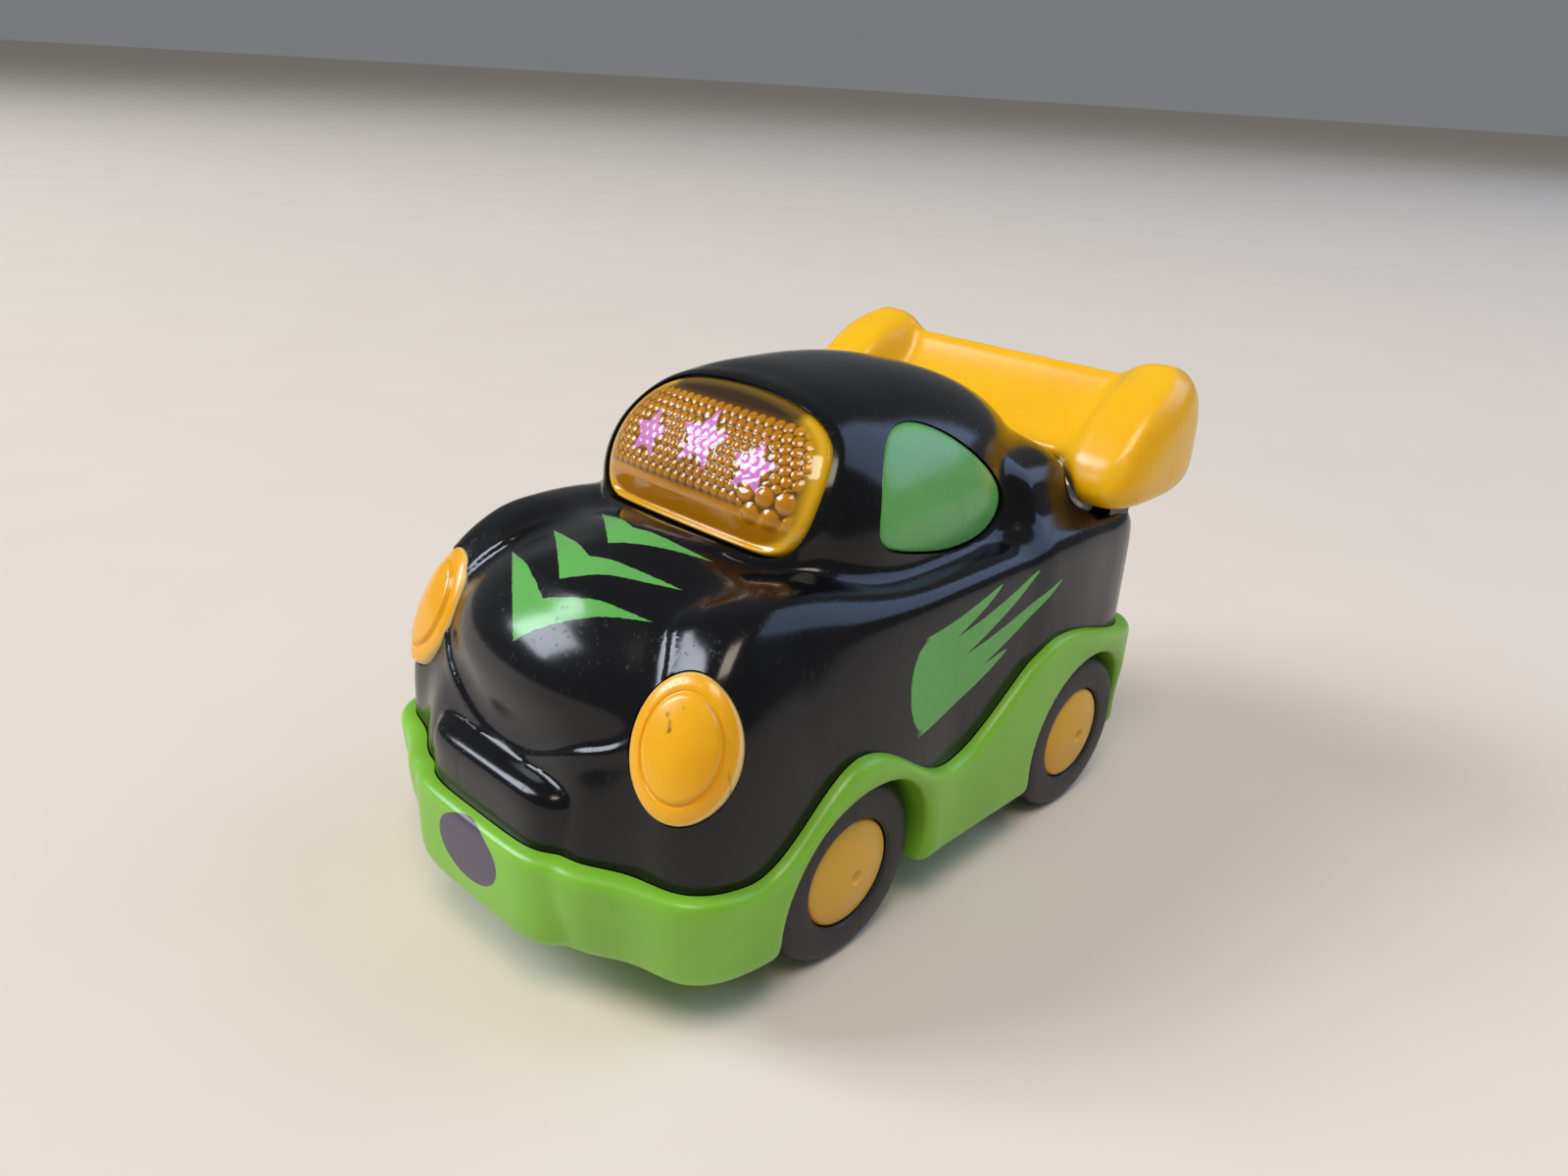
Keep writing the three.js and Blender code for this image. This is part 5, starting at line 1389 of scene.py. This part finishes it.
@dataclass(frozen=True)
class Windscreen:
    """The amber windscreen, which presses in as one big key."""

    centre: tuple[float, float, float] = (0.0, -28.0, 62.3)
    tilt: float = 21.0
    guides: tuple[tuple[float, float], ...] = (
        (9.0, -9.7), (16.6, -9.6), (19.3, -5.6), (19.3, 1.0), (17.2, 6.2), (11.8, 9.2), (4.0, 10.3),
    )
    recess: float = 0.35
    thickness: float = 2.0
    gap: float = 0.3
    ledge_v: float = -5.9
    ledge_slope: float = 0.28
    ledge_span: tuple[float, float] = (0.97, 0.88)
    face: float = 0.955
    rim: tuple[tuple[float, float], ...] = ((0.975, 0.08), (0.99, 0.3), (0.998, 0.65))
    back: tuple[float, ...] = (1.0, 0.9)
    inside: float = 0.85
    sides: int = 400
    rings: int = 84
    back_rings: int = 12
    bead_span: tuple[float, float] = (0.93, 0.87)
    bead_facing: float = 0.3
    star_beads: float = 0.4
    star_span: tuple[float, float] = (0.7, 0.9)
    opening_depth: float = 7.0
    crisp: float = 60.0
    beads: tuple[BeadField, ...] = (
        BeadField(1.5, 0.24, -17.0, 17.0, -4.6, 6.6),
        BeadField(2.9, 0.4, 10.0, 17.6, -5.2, 0.0),
    )

    @property
    def plane(self) -> Plane:
        """The plane that the screen is drawn in."""
        lean = math.radians(self.tilt)
        return Plane(Vector(self.centre), Vector((1, 0, 0)), Vector((0, math.sin(lean), math.cos(lean))))

    @property
    def outline(self) -> Outline:
        """The screen's outline in its plane."""
        return Outline((*self.guides, *((-u, v) for u, v in reversed(self.guides))))

    def opening(self) -> bpy.types.Object:
        """A column that cuts the screen's opening in the body."""
        return column(self.outline.points(self.gap), self.plane, -self.opening_depth, FAR / 2)

    def plate(self) -> bpy.types.Object:
        """The screen as a smooth plate.

        Returns:
            The plate, still without its beads.
        """
        face = [(share, -self.recess) for share in np.linspace(0, self.face, self.rings)]
        rim = [(share, -self.recess - drop) for share, drop in self.rim]
        shares = (*self.back, *np.linspace(self.inside, 0, self.back_rings))
        back = [(share, -self.recess - self.thickness) for share in shares]
        return dished(self.plane, self.outline.reach, [*face, *rim, *back], FORMS.cabin.distance, self.sides)

    def build(self) -> None:
        """Makes the screen, raises its beads, sinks its foot and dresses it."""
        item = self.plate()
        mesh = item.data
        points = points_of(item)
        outward = np.array(self.plane.outward)
        share, normals = np.empty(len(points)), np.empty(points.size)
        mesh.attributes["share"].data.foreach_get("value", share)
        mesh.vertex_normals.foreach_get("vector", normals)
        facing = normals.reshape(-1, 3) @ outward > self.bead_facing
        in_face = np.where(facing, ease(share, *self.bead_span), 0.0)
        u, v, _ = self.plane.flat(points)
        dome, rise = np.zeros(len(points)), np.zeros(len(points))
        for field in self.beads:
            height, inside = field.domes(u, v)
            dome, rise = np.where(inside, height, dome), np.where(inside, height * field.rise, rise)
        for star in AMBER_CLEAR.stars:
            away = np.hypot(u - star.u, v - star.v) / star.radius
            in_face *= self.star_beads + (1 - self.star_beads) * ease(away, *self.star_span)
        ledge = np.maximum(self.ledge_v - v, 0) * self.ledge_slope * ease(share, *self.ledge_span)
        points += np.outer(rise * in_face - ledge, outward)
        mesh.vertices.foreach_set("co", points.ravel())
        note_values(item, "dome", dome * in_face)
        finish_piece(
            item, "windscreen_lens", "windscreen_button", AMBER_CLEAR, ["windscreen_button"], self.crisp
        )


@dataclass(frozen=True)
class SideWindow:
    """A leaf-green side window, set in the cabin's flank."""

    centre: tuple[float, float, float] = (20.0, -5.5, 58.0)
    guides: tuple[tuple[float, float], ...] = (
        (-18.4, 54.0), (-14.0, 52.4), (-4.0, 50.2), (6.5, 50.6), (10.2, 54.5),
        (6.0, 60.0), (-3.0, 66.6), (-10.5, 67.2), (-16.0, 63.6), (-18.8, 57.0),
    )
    recess: float = 0.25
    crown: float = 0.45
    face: float = 0.94
    rings: int = 24
    rim: tuple[tuple[float, float], ...] = ((0.965, 0.0), (0.985, 0.12), (0.997, 0.4))
    back: tuple[float, ...] = (1.0, 0.9, 0.0)
    thickness: float = 1.2
    gap: float = 0.16
    pocket: float = 1.5
    pocket_depth: float = 6.0

    @property
    def plane(self) -> Plane:
        """The plane that the left window is drawn in."""
        return side_plane(self.centre)

    @property
    def outline(self) -> Outline:
        """The window's outline in its plane."""
        _, middle_y, middle_z = self.centre
        return Outline(tuple((y - middle_y, z - middle_z) for y, z in self.guides))

    def pocket_tool(self, side: Side) -> bpy.types.Object:
        """The solid that cuts a window's pocket.

        Args:
            side: The window's side.

        Returns:
            The cutting solid.
        """
        tool = column(self.outline.points(self.gap), self.plane, -self.pocket_depth, FAR / 2)
        shape(tool, Cut.REMOVE, FORMS.cabin.seed(-self.pocket))
        return mirrored(tool, side)

    def build(self) -> None:
        """Makes and dresses both windows."""
        shares = np.linspace(0, self.face, self.rings)
        face = [(share, self.crown * (1 - share**2) - self.recess) for share in shares]
        rim = [(share, -self.recess - drop) for share, drop in self.rim]
        profile = [*face, *rim, *((share, -self.thickness) for share in self.back)]
        for side in Side:
            item = dished(self.plane, self.outline.reach, profile, FORMS.cabin.distance)
            mirrored(item, side)
            finish_piece(item, f"window_{side.word}", "car", LEAF_ENAMEL, [f"side_window_{side.word}"])


@dataclass(frozen=True)
class Headlight:
    """An oval headlight plate with a raised middle, set in the front of a fender."""

    centre: tuple[float, float, float] = (24.86, -51.39, 38.41)
    pitch: float = 29.0
    yaw: float = 25.5
    half_width: float = 6.6
    half_height: float = 8.6
    proud: float = 0.3
    bulge: float = 0.9
    bulge_fall: float = 0.4
    rings: int = 16
    step: tuple[tuple[float, float], ...] = (
        (0.7, 0.4), (0.715, 0.18), (0.73, 0.0), (0.745, -0.02), (0.76, 0.1),
    )
    step_edge: float = 0.02
    band: tuple[tuple[float, float], ...] = ((0.78, 0.17), (0.84, 0.12), (0.9, 0.03), (0.95, -0.1))
    rim: tuple[tuple[float, float], ...] = ((0.975, -0.22), (0.99, -0.4), (0.998, -0.7))
    back: tuple[float, ...] = (1.0, 0.9, 0.0)
    thickness: float = 1.1
    gap: float = 0.16
    pocket: float = 1.4
    pocket_depth: float = 16.0
    pocket_sides: int = 128
    level: float = 0.5

    @property
    def plane(self) -> Plane:
        """The plane that the left headlight is drawn in."""
        yaw = math.radians(self.yaw)
        across = Vector((math.cos(yaw), math.sin(yaw), 0))
        return Plane(Vector(self.centre), across, toward(self.yaw, self.pitch).cross(across))

    def pocket_tool(self, side: Side) -> bpy.types.Object:
        """The solid that cuts a headlight's pocket.

        Args:
            side: The headlight's side.

        Returns:
            The cutting solid.
        """
        angles = np.linspace(0, 2 * math.pi, self.pocket_sides, endpoint=False)
        reach = oval_reach(self.half_width + self.gap, self.half_height + self.gap)(angles)
        points = [Vector(pair) for pair in zip(reach * np.cos(angles), reach * np.sin(angles))]
        tool = column(points, self.plane, -self.pocket_depth, FAR / 4)
        shape(tool, Cut.REMOVE, FORMS.fender.seed(-self.pocket))
        return mirrored(tool, side)

    def build(self) -> None:
        """Makes and dresses both headlights."""
        start = self.step[0][0]
        shares = np.linspace(0, start - self.step_edge, self.rings)
        face = [(share, self.bulge * (1 - self.bulge_fall * (share / start) ** 2)) for share in shares]
        front = [(share, self.proud + lift) for share, lift in (*face, *self.step, *self.band, *self.rim)]
        profile = [*front, *((share, -self.thickness) for share in self.back)]
        reach = oval_reach(self.half_width, self.half_height)
        for side in Side:
            item = mirrored(dished(self.plane, reach, profile, FORMS.fender.distance, level=self.level), side)
            finish_piece(item, f"headlamp_{side.word}", "car", ORANGE_ENAMEL, [f"headlight_{side.word}"])


@dataclass(frozen=True)
class BodyShell:
    """The glossy black moulding: one thin shell from nose to tail, with the wing's two uprights."""

    voxel: float = 0.62
    rough_voxel: float = 1.2
    wall: float = 2.0
    lap: float = 3.0
    tub_radius: float = 15.8
    tub_x: float = 19.9
    rim_reach: float = 1.1
    rim_width: float = 0.8
    rim_rise: float = 0.25
    rim_depth: float = 12.0
    upright_x: float = 27.3
    upright_y: float = 35.0
    upright_z: float = 59.8
    upright_half: float = 3.0
    upright_thickness: float = 3.0
    upright_drop: float = 12.6
    pin_radius: float = 1.55
    pin_past: float = 1.0

    def skin(self, points: np.ndarray) -> np.ndarray:
        """Distances from the body's outer skin, with a swelling round the windscreen.

        Args:
            points: Points, one a row.

        Returns:
            One distance for each point.
        """
        screen = Windscreen()
        u, v, out = screen.plane.flat(points)
        away = screen.outline.distance(u, v) - self.rim_reach
        rim = np.where(out > -self.rim_depth, self.rim_rise * hump(away, self.rim_width), 0.0)
        return FORMS.whole(points) - rim

    def cavity(self, points: np.ndarray) -> np.ndarray:
        """Distances from the hollow inside the shell."""
        return FORMS.whole(points) + self.wall

    def upright(self, side: Side) -> bpy.types.Object:
        """One of the uprights that carry the wing.

        Args:
            side: Its side of the car.

        Returns:
            The upright, drilled for its pin.
        """
        thick = self.upright_thickness / 2
        middle = Vector((self.upright_x * side.value, self.upright_y, self.upright_z))
        item = column(arch(self.upright_half, self.upright_drop), side_plane(middle), -thick, thick)
        reach = Vector((thick + self.pin_past, 0, 0))
        return shape(item, Cut.REMOVE, rod(middle - reach, middle + reach, self.pin_radius, PIN_SIDES))

    def build(self) -> None:
        """Makes and dresses the shell."""
        item = press_onto(fuse(FORMS.seeds(0.0, lower_only=False), self.voxel), self.skin)
        hollow = press_onto(fuse(FORMS.seeds(-self.wall, lower_only=False), self.rough_voxel), self.cavity)
        shape(item, Cut.REMOVE, hollow, TRIM.below(self.lap), Windscreen().opening())
        for side in Side:
            shape(item, Cut.REMOVE, SideWindow().pocket_tool(side), Headlight().pocket_tool(side))
            shape(item, Cut.REMOVE, *wheel_rods(side, self.tub_x, self.tub_radius))
            shape(item, Cut.ADD, self.upright(side))
        finish_piece(item, "body_moulding", "car", BLACK_ABS, ["body_shell"])


@dataclass(frozen=True)
class Chassis:
    """The lime-green lower moulding: wrap-round trim, bumper, wheel tubs and floor."""

    voxel: float = 0.56
    rough_voxel: float = 1.1
    press_rounds: int = 18
    proud: float = 2.0
    fit: float = 0.12
    floor_z: float = 8.0
    floor_top_z: float = 10.0
    arch_radius: float = 14.2
    well_x: float = 21.5
    tub_radius: float = 15.5
    tub_x: float = 20.2
    edge: float = 1.7
    foot: float = 3.0
    arch_edge: float = 2.0
    screw_hole: float = 2.7
    screws: tuple[tuple[float, float], ...] = ((17.0, -48.0), (-17.0, -48.0), (15.0, 36.0), (-15.0, 36.0))
    cover_gap: float = 0.3
    past_floor: float = 0.4
    grille_y: float = -44.0
    grille_radius: float = 12.4
    grille_share: float = 0.75
    grille_slots: int = 4
    grille_slot: float = 1.5
    lug_radius: float = 3.6
    switch_half: float = 3.8
    switch_deep: float = 1.8
    switch_y: float = 36.0

    def skin(self, points: np.ndarray) -> np.ndarray:
        """Distances from the moulding as a solid block with its wheel wells.

        Args:
            points: Points, one a row.

        Returns:
            One distance for each point.
        """
        x, y, z = points.T
        band = meet(FORMS.lower(points, self.proud), TRIM.distance(points), self.edge)
        band = meet(band, self.floor_z - z, self.foot)
        round_axle = np.hypot(np.abs(y) - AXLE_Y, z - AXLE_Z) - self.arch_radius
        well = np.maximum(round_axle, self.well_x - np.abs(x))
        return meet(band, -well, self.arch_edge)

    def hollow(self) -> bpy.types.Object:
        """The room above the floor, less the wheel tubs.

        Returns:
            The solid to cut away.
        """
        inside = fuse(FORMS.seeds(self.fit, lower_only=True), self.rough_voxel)
        press_onto(inside, lambda points: FORMS.lower(points, self.fit))
        shape(inside, Cut.REMOVE, block((-FAR, -FAR, -FAR), (FAR, FAR, self.floor_top_z)))
        for side in Side:
            shape(inside, Cut.REMOVE, *wheel_rods(side, self.tub_x, self.tub_radius))
        return inside

    def floor_openings(self) -> list[bpy.types.Object]:
        """Tools that cut the floor for its cover, screws, grille and switch.

        Returns:
            The cutting solids.
        """
        top, gap = self.floor_top_z + self.past_floor, self.cover_gap
        low, high = (corner / MM - Vector((0, DATUM_Y, 0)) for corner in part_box("battery_cover"))
        lug = Vector((high.x - self.lug_radius, 0, 0))
        half = Vector((0, self.lug_radius + gap, 0))
        tools = [
            block((low.x - gap, low.y - gap, 0), (-low.x + gap, high.y + gap, top)),
            block((0, -half.y, 0), (lug.x, half.y, top)),
            rod(lug, lug + Vector((0, 0, top)), self.lug_radius + gap, HOLE_SIDES),
            block(
                (-self.switch_half, self.switch_y - self.switch_deep, 0),
                (self.switch_half, self.switch_y + self.switch_deep, top),
            ),
        ]
        ends = [(Vector((x, y, 0)), Vector((x, y, top))) for x, y in self.screws]
        tools += [rod(low_end, high_end, self.screw_hole, HOLE_SIDES) for low_end, high_end in ends]
        pitch = 2 * self.grille_share * self.grille_radius / self.grille_slots
        for i in range(self.grille_slots):
            off = (i - (self.grille_slots - 1) / 2) * pitch
            reach = self.grille_share * math.sqrt(self.grille_radius**2 - off**2)
            y, thick = self.grille_y + off, self.grille_slot / 2
            tools.append(block((-reach, y - thick, 0), (reach, y + thick, top)))
        return tools

    def build(self) -> None:
        """Makes and dresses the moulding."""
        seeds = FORMS.seeds(self.proud, lower_only=True)
        rough = press_onto(fuse(seeds, self.rough_voxel), lambda points: FORMS.lower(points, self.proud))
        shape(rough, Cut.REMOVE, block((-FAR, -FAR, -FAR), (FAR, FAR, self.floor_z)))
        shape(rough, Cut.KEEP_WITHIN, TRIM.below(0.0))
        for side in Side:
            shape(rough, Cut.REMOVE, *wheel_rods(side, self.well_x, self.arch_radius))
        item = press_onto(fuse([rough], self.voxel), self.skin, self.press_rounds)
        shape(item, Cut.REMOVE, self.hollow(), *self.floor_openings())
        finish_piece(item, "chassis_moulding", "car", LIME_ABS, ["chassis"])


@dataclass(frozen=True)
class Wing:
    """The yellow rear wing: a sagging blade between two rounded pods that stand on the shoulders.

    Each pod is a thick plate whose upper edge slants with the blade.
    """

    voxel: float = 0.45
    press_rounds: int = 14
    pod: Swelling = Swelling((27.3, 37.8, 56.7), 6.8, 14.0, 15.0, 13.0, 6.6, 3.4, 2.4, 3.4)
    ridge: tuple[float, float] = (39.8, 70.0)
    ridge_slope: float = 43.0
    ridge_round: float = 7.0
    front: tuple[float, float] = (31.0, 56.5)
    rear: tuple[float, float] = (45.5, 68.0)
    thickness: float = 3.2
    sag: float = 1.6
    fillet: float = 4.5
    edge: float = 2.6
    gap: float = 0.6
    clearing: float = 0.9
    swing: float = 20.0
    pivot: tuple[float, float] = (35.0, 59.8)
    slot_half: float = 1.9
    slot_round: float = 3.4
    slot_drop: float = 12.0
    slot_run: float = 4.4

    def swung(self, points: np.ndarray, angle: float, about: tuple[float, float]) -> np.ndarray:
        """Points turned about a line across the car.

        Args:
            points: Points, one a row.
            angle: The turn, in degrees.
            about: The line's place along the car and its height.

        Returns:
            The turned points.
        """
        turn = math.radians(angle)
        y, z = points[:, 1] - about[0], points[:, 2] - about[1]
        result = points.copy()
        result[:, 1] = about[0] + y * math.cos(turn) - z * math.sin(turn)
        result[:, 2] = about[1] + y * math.sin(turn) + z * math.cos(turn)
        return result

    def blade(self, points: np.ndarray) -> np.ndarray:
        """Distances from the blade.

        Args:
            points: Points, one a row.

        Returns:
            One distance for each point.
        """
        run = Vector(self.rear) - Vector(self.front)
        along = run.normalized()
        y, z = points[:, 1] - self.front[0], points[:, 2] - self.front[1]
        s = y * along.x + z * along.y
        h = z * along.x - y * along.y + self.thickness / 2
        share = 2 * s / run.length - 1
        sheet = np.abs(h + self.sag * (1 - share * share)) - self.thickness / 2
        ends = np.abs(s - run.length / 2) - run.length / 2
        slab = meet(sheet, ends, self.edge)
        return np.maximum(slab, np.abs(points[:, 0]) - self.pod.centre[0])

    def skin(self, points: np.ndarray) -> np.ndarray:
        """Distances from the wing, clear of the body at rest and when it is tipped.

        Args:
            points: Points, one a row.

        Returns:
            One distance for each point.
        """
        beside = FORMS.beside(points)
        slant = math.radians(self.ridge_slope)
        y, z = beside[:, 1] - self.ridge[0], beside[:, 2] - self.ridge[1]
        pod = meet(self.pod.distance(beside), z * math.cos(slant) - y * math.sin(slant), self.ridge_round)
        whole = blend(self.blade(points), pod, self.fillet)
        for angle in (0.0, -self.swing):
            turned_back = self.swung(points, angle, self.pivot)
            for form in (FORMS.tub, FORMS.deck):
                whole = meet(whole, -form.distance(turned_back, self.gap), self.clearing)
        return whole

    def rough(self) -> bpy.types.Object:
        """A rough solid of the wing.

        Returns:
            The solid.
        """
        (y0, z0), (y1, z1) = self.front, self.rear
        lean = math.atan2(z1 - z0, y1 - y0)
        drop = Vector((math.sin(lean), -math.cos(lean))) * self.thickness
        sag = drop * (self.sag / self.thickness)
        middle = (Vector(self.front) + Vector(self.rear)) / 2 + sag
        outline = [Vector(self.front), Vector(self.front) + drop, middle + drop, Vector(self.rear) + drop]
        outline += [Vector(self.rear), middle]
        plane = side_plane()
        solids = [column(outline, plane, -self.pod.centre[0], self.pod.centre[0])]
        climb = math.tan(math.radians(self.ridge_slope))
        low, high = (self.ridge[1] + (y - self.ridge[0]) * climb for y in (-FAR, FAR))
        above = [(-FAR, low), (FAR, high), (-FAR, high)]
        for side in Side:
            pod = shape(self.pod.seed(), Cut.REMOVE, column(above, plane, -FAR, FAR))
            solids.append(mirrored(pod, side))
        whole = fuse(solids, self.voxel)
        swing = Matrix.Rotation(math.radians(self.swing), 4, "X")
        pivot = Matrix.Translation((0, *self.pivot))
        for place in (Matrix.Identity(4), pivot @ swing @ pivot.inverted()):
            for form in (FORMS.tub, FORMS.deck):
                tool = form.seed(self.gap)
                tool.data.transform(place)
                shape(whole, Cut.REMOVE, tool)
        return whole

    def slot(self, side: Side) -> bpy.types.Object:
        """The slot in a pod for the body's upright.

        Args:
            side: The pod's side.

        Returns:
            The cutting solid.
        """
        outline = arch(self.slot_round, self.slot_drop, self.slot_run)
        plane = side_plane((self.pod.centre[0] * side.value, *self.pivot))
        return column(outline, plane, -self.slot_half, self.slot_half)

    def build(self) -> None:
        """Makes and dresses the wing."""
        item = press_onto(fuse([self.rough()], self.voxel), self.skin, self.press_rounds)
        shape(item, Cut.REMOVE, *(self.slot(side) for side in Side))
        finish_piece(item, "wing_moulding", "wing", YELLOW_ABS, ["wing"])


class Axle(Enum):
    """An axle: its name in the nodes, and its sign along the car."""

    FRONT = -1
    REAR = 1


@dataclass(frozen=True)
class Wheels:
    """Four wheels: soft tyres with rounded shoulders on domed hubs."""

    radius: float = 13.0
    face_x: float = 31.2
    width: float = 8.5
    shoulder: float = 2.0
    hub_radius: float = 7.6
    hub_rim: float = 1.8
    hub_sink: float = 0.5
    hub_dome: float = 1.2
    pit_radius: float = 1.1
    pit_depth: float = 0.8
    fit: float = 0.15
    arc_steps: int = 8
    wall: tuple[tuple[float, float], ...] = ((1.2, 0.15), (0.3, 0.0), (0.0, -0.35))
    flange_seat: float = 4.0
    hub_seat: float = 3.8
    hub_socket: tuple[float, float] = (2.0, 3.0)
    hub_edge: tuple[tuple[float, float], ...] = ((0.0, 0.4), (0.12, 0.1))
    dome_edge: float = 0.95
    dome_step: float = 0.065
    dome_steps: int = 12
    pit_drop: float = 0.1
    pit_slope: tuple[float, float] = (0.75, 0.35)

    def place(self, side: Side, axle: Axle) -> Matrix:
        """Where a wheel's axis stands, its own Z pointing out of the car."""
        turn = Matrix.Rotation(math.pi / 2 * side.value, 4, "Y")
        return Matrix.Translation((0, AXLE_Y * axle.value, AXLE_Z)) @ turn

    def tyre_profile(self) -> list[tuple[float, float]]:
        """The tyre's section.

        Returns:
            Pairs of radius and distance from the car's middle.
        """
        inner, r, sh = self.face_x - self.width, self.radius, self.shoulder
        seat = self.hub_radius + self.fit
        arcs = []
        for centre, start in ((inner + sh, 1.0), (self.face_x - sh, 0.5)):
            for k in range(self.arc_steps + 1):
                a = math.pi * (start - k / (2 * self.arc_steps))
                arcs.append((r - sh + sh * math.sin(a), centre + sh * math.cos(a)))
        wall = [(seat + out, self.face_x + lift) for out, lift in self.wall]
        flange, stop = seat + self.hub_rim, inner + self.flange_seat
        return [(flange, inner), *arcs, *wall, (seat, stop), (flange, stop), (flange, inner)]

    def hub_profile(self) -> list[tuple[float, float]]:
        """The hub's section.

        Returns:
            Pairs of radius and distance from the car's middle.
        """
        inner, face, radius = self.face_x - self.width, self.face_x - self.hub_sink, self.hub_radius
        flange, stop = radius + self.hub_rim - self.fit, inner + self.hub_seat
        socket, depth = self.hub_socket
        back = [(0.0, inner + depth), (socket, inner), (flange, inner), (flange, stop), (radius, stop)]
        edge = [(radius - inset, face - drop) for inset, drop in self.hub_edge]
        shares = [self.dome_edge - k * self.dome_step for k in range(self.dome_steps)]
        rise = self.hub_dome + self.hub_sink
        dome = [(radius * share, face + (1 - share**2) * rise) for share in shares]
        top, (share, drop) = self.face_x + self.hub_dome - self.pit_drop, self.pit_slope
        pit = [(self.pit_radius, top), (self.pit_radius * share, top - drop), (0.0, top - self.pit_depth)]
        return [*back, *edge, *dome, *pit]

    def build(self) -> None:
        """Makes and dresses all four wheels."""
        for axle in Axle:
            body = f"{axle.name.lower()}_wheelset"
            for side in Side:
                where = f"{axle.name.lower()}_{side.word}"
                place = self.place(side, axle)
                tyre = turned("tyre", self.tyre_profile(), place)
                finish_piece(tyre, f"tyre_ring_{where}", body, TYRE_VINYL, [f"tyre_{where}"])
                hub = turned("hub", self.hub_profile(), place)
                finish_piece(hub, f"hub_cap_{where}", body, HUB_ENAMEL, [f"hub_{where}"])


def dress_solids() -> None:
    """Gives each solid that shows its own finish, by its slot."""
    by_slot = {finish.slot: finish for finish in FINISHES}
    for name, node in frame["nodes"].items():
        slot = node.data.materials[0].name.split(".")[0]
        node.material_slots[0].material = by_slot[slot].material()
        LOG.info("%s: dressed as %s", name, slot)


@dataclass(frozen=True)
class Lamp:
    """A soft studio lamp, aimed at the car from a bearing and a height."""

    name: str
    bearing: float
    rise: float
    distance: float
    width: float
    height: float
    power: float
    tint: str

    def build(self, target: Vector) -> None:
        """Makes the lamp.

        Args:
            target: The point that it is aimed at, in metres.
        """
        light = bpy.data.lights.new(self.name, "AREA")
        light.shape = "RECTANGLE"
        light.size, light.size_y = self.width, self.height
        light.energy = self.power
        light.color = colour(self.tint)[:3]
        item = bpy.data.objects.new(self.name, light)
        way = toward(self.bearing, self.rise)
        item.location = target + way * self.distance
        item.rotation_euler = way.to_track_quat("Z", "Y").to_euler()
        bpy.context.scene.collection.objects.link(item)


@dataclass(frozen=True)
class Studio:
    """A pale floor, soft light, and the camera at the photograph's angle."""

    bearing: float = 42.3
    rise: float = 23.22
    roll: float = 3.54
    shift_x: float = -4.225
    shift_y: float = 32.48
    distance: float = 196.3
    focal: float = 1207.0
    image_width: int = 1600
    sensor: float = 36.0
    clip_start: float = 0.005
    floor_size: float = 40.0
    floor_colours: tuple[str, str] = ("E9DFCF", "E3D8C8")
    floor_roughness: float = 0.55
    floor_grain: float = 40.0
    sky: str = "DDE0E4"
    sky_strength: float = 0.26
    aim_z: float = 30.0
    lamps: tuple[Lamp, ...] = (
        Lamp("key", -47.0, 36.0, 2.8, 1.2, 1.2, 60.0, "EAF1FF"),
        Lamp("window", 150.0, 40.0, 3.0, 2.2, 2.2, 34.0, "B4CEFF"),
        Lamp("fill", 40.0, 66.0, 3.0, 1.2, 1.2, 40.0, "FFF1DE"),
    )

    def camera(self) -> None:
        """Sets up the camera."""
        bearing, roll = math.radians(self.bearing), math.radians(self.roll)
        back = toward(self.bearing, self.rise)
        level = Vector((math.cos(bearing), math.sin(bearing), 0))
        above = back.cross(level)
        right = level * math.cos(roll) + above * math.sin(roll)
        up = above * math.cos(roll) - level * math.sin(roll)
        place = right * self.shift_x + up * self.shift_y + back * self.distance
        data = bpy.data.cameras.new("photograph")
        data.sensor_width = self.sensor
        data.lens = self.focal / self.image_width * self.sensor
        data.clip_start = self.clip_start
        item = bpy.data.objects.new("photograph", data)
        basis = Matrix((right, up, back)).transposed().to_4x4()
        item.matrix_world = Matrix.Translation((place + Vector((0, DATUM_Y, 0))) * MM) @ basis
        bpy.context.scene.collection.objects.link(item)
        bpy.context.scene.camera = item

    def floor(self) -> None:
        """Lays the floor."""
        bm = bmesh.new()
        bmesh.ops.create_grid(bm, x_segments=1, y_segments=1, size=self.floor_size / 2)
        item = mesh_object("floor", bm)
        # Painted board: pale and matt, with faint broad clouds
        material = bpy.data.materials.new("Pale painted board")
        material.use_nodes = True
        tree = material.node_tree
        shader = tree.nodes["Principled BSDF"]
        shader.inputs["Roughness"].default_value = self.floor_roughness
        place = add_node(tree, "TexCoord", out="Object")
        clouds = {"Vector": place, "Scale": per_mm(self.floor_grain), "Detail": 4.0}
        grain = add_node(tree, "TexNoise", clouds)
        pale = {0: grain, **{6 + i: colour(code) for i, code in enumerate(self.floor_colours)}}
        tree.links.new(add_node(tree, "Mix", pale, out=2, data_type="RGBA"), shader.inputs["Base Color"])
        item.data.materials.append(material)

    def build(self) -> None:
        """Sets up floor, lamps, world and camera."""
        self.floor()
        target = Vector((0, 0, self.aim_z)) * MM
        for lamp in self.lamps:
            lamp.build(target)
        world = bpy.data.worlds.new("studio")
        world.use_nodes = True
        sky = world.node_tree.nodes["Background"].inputs
        sky["Color"].default_value, sky["Strength"].default_value = colour(self.sky), self.sky_strength
        bpy.context.scene.world = world
        bpy.context.scene.view_settings.view_transform = "Standard"
        self.camera()


def main() -> None:
    """Builds the car's looks, piece by piece."""
    logging.basicConfig(level=logging.INFO, format="%(name)s %(message)s")
    dress_solids()
    for part in (BodyShell(), Chassis(), Windscreen(), SideWindow(), Headlight(), Wing(), Wheels(), Studio()):
        part.build()
        LOG.info("%s done", type(part).__name__)


if __name__ == "__main__":
    main()
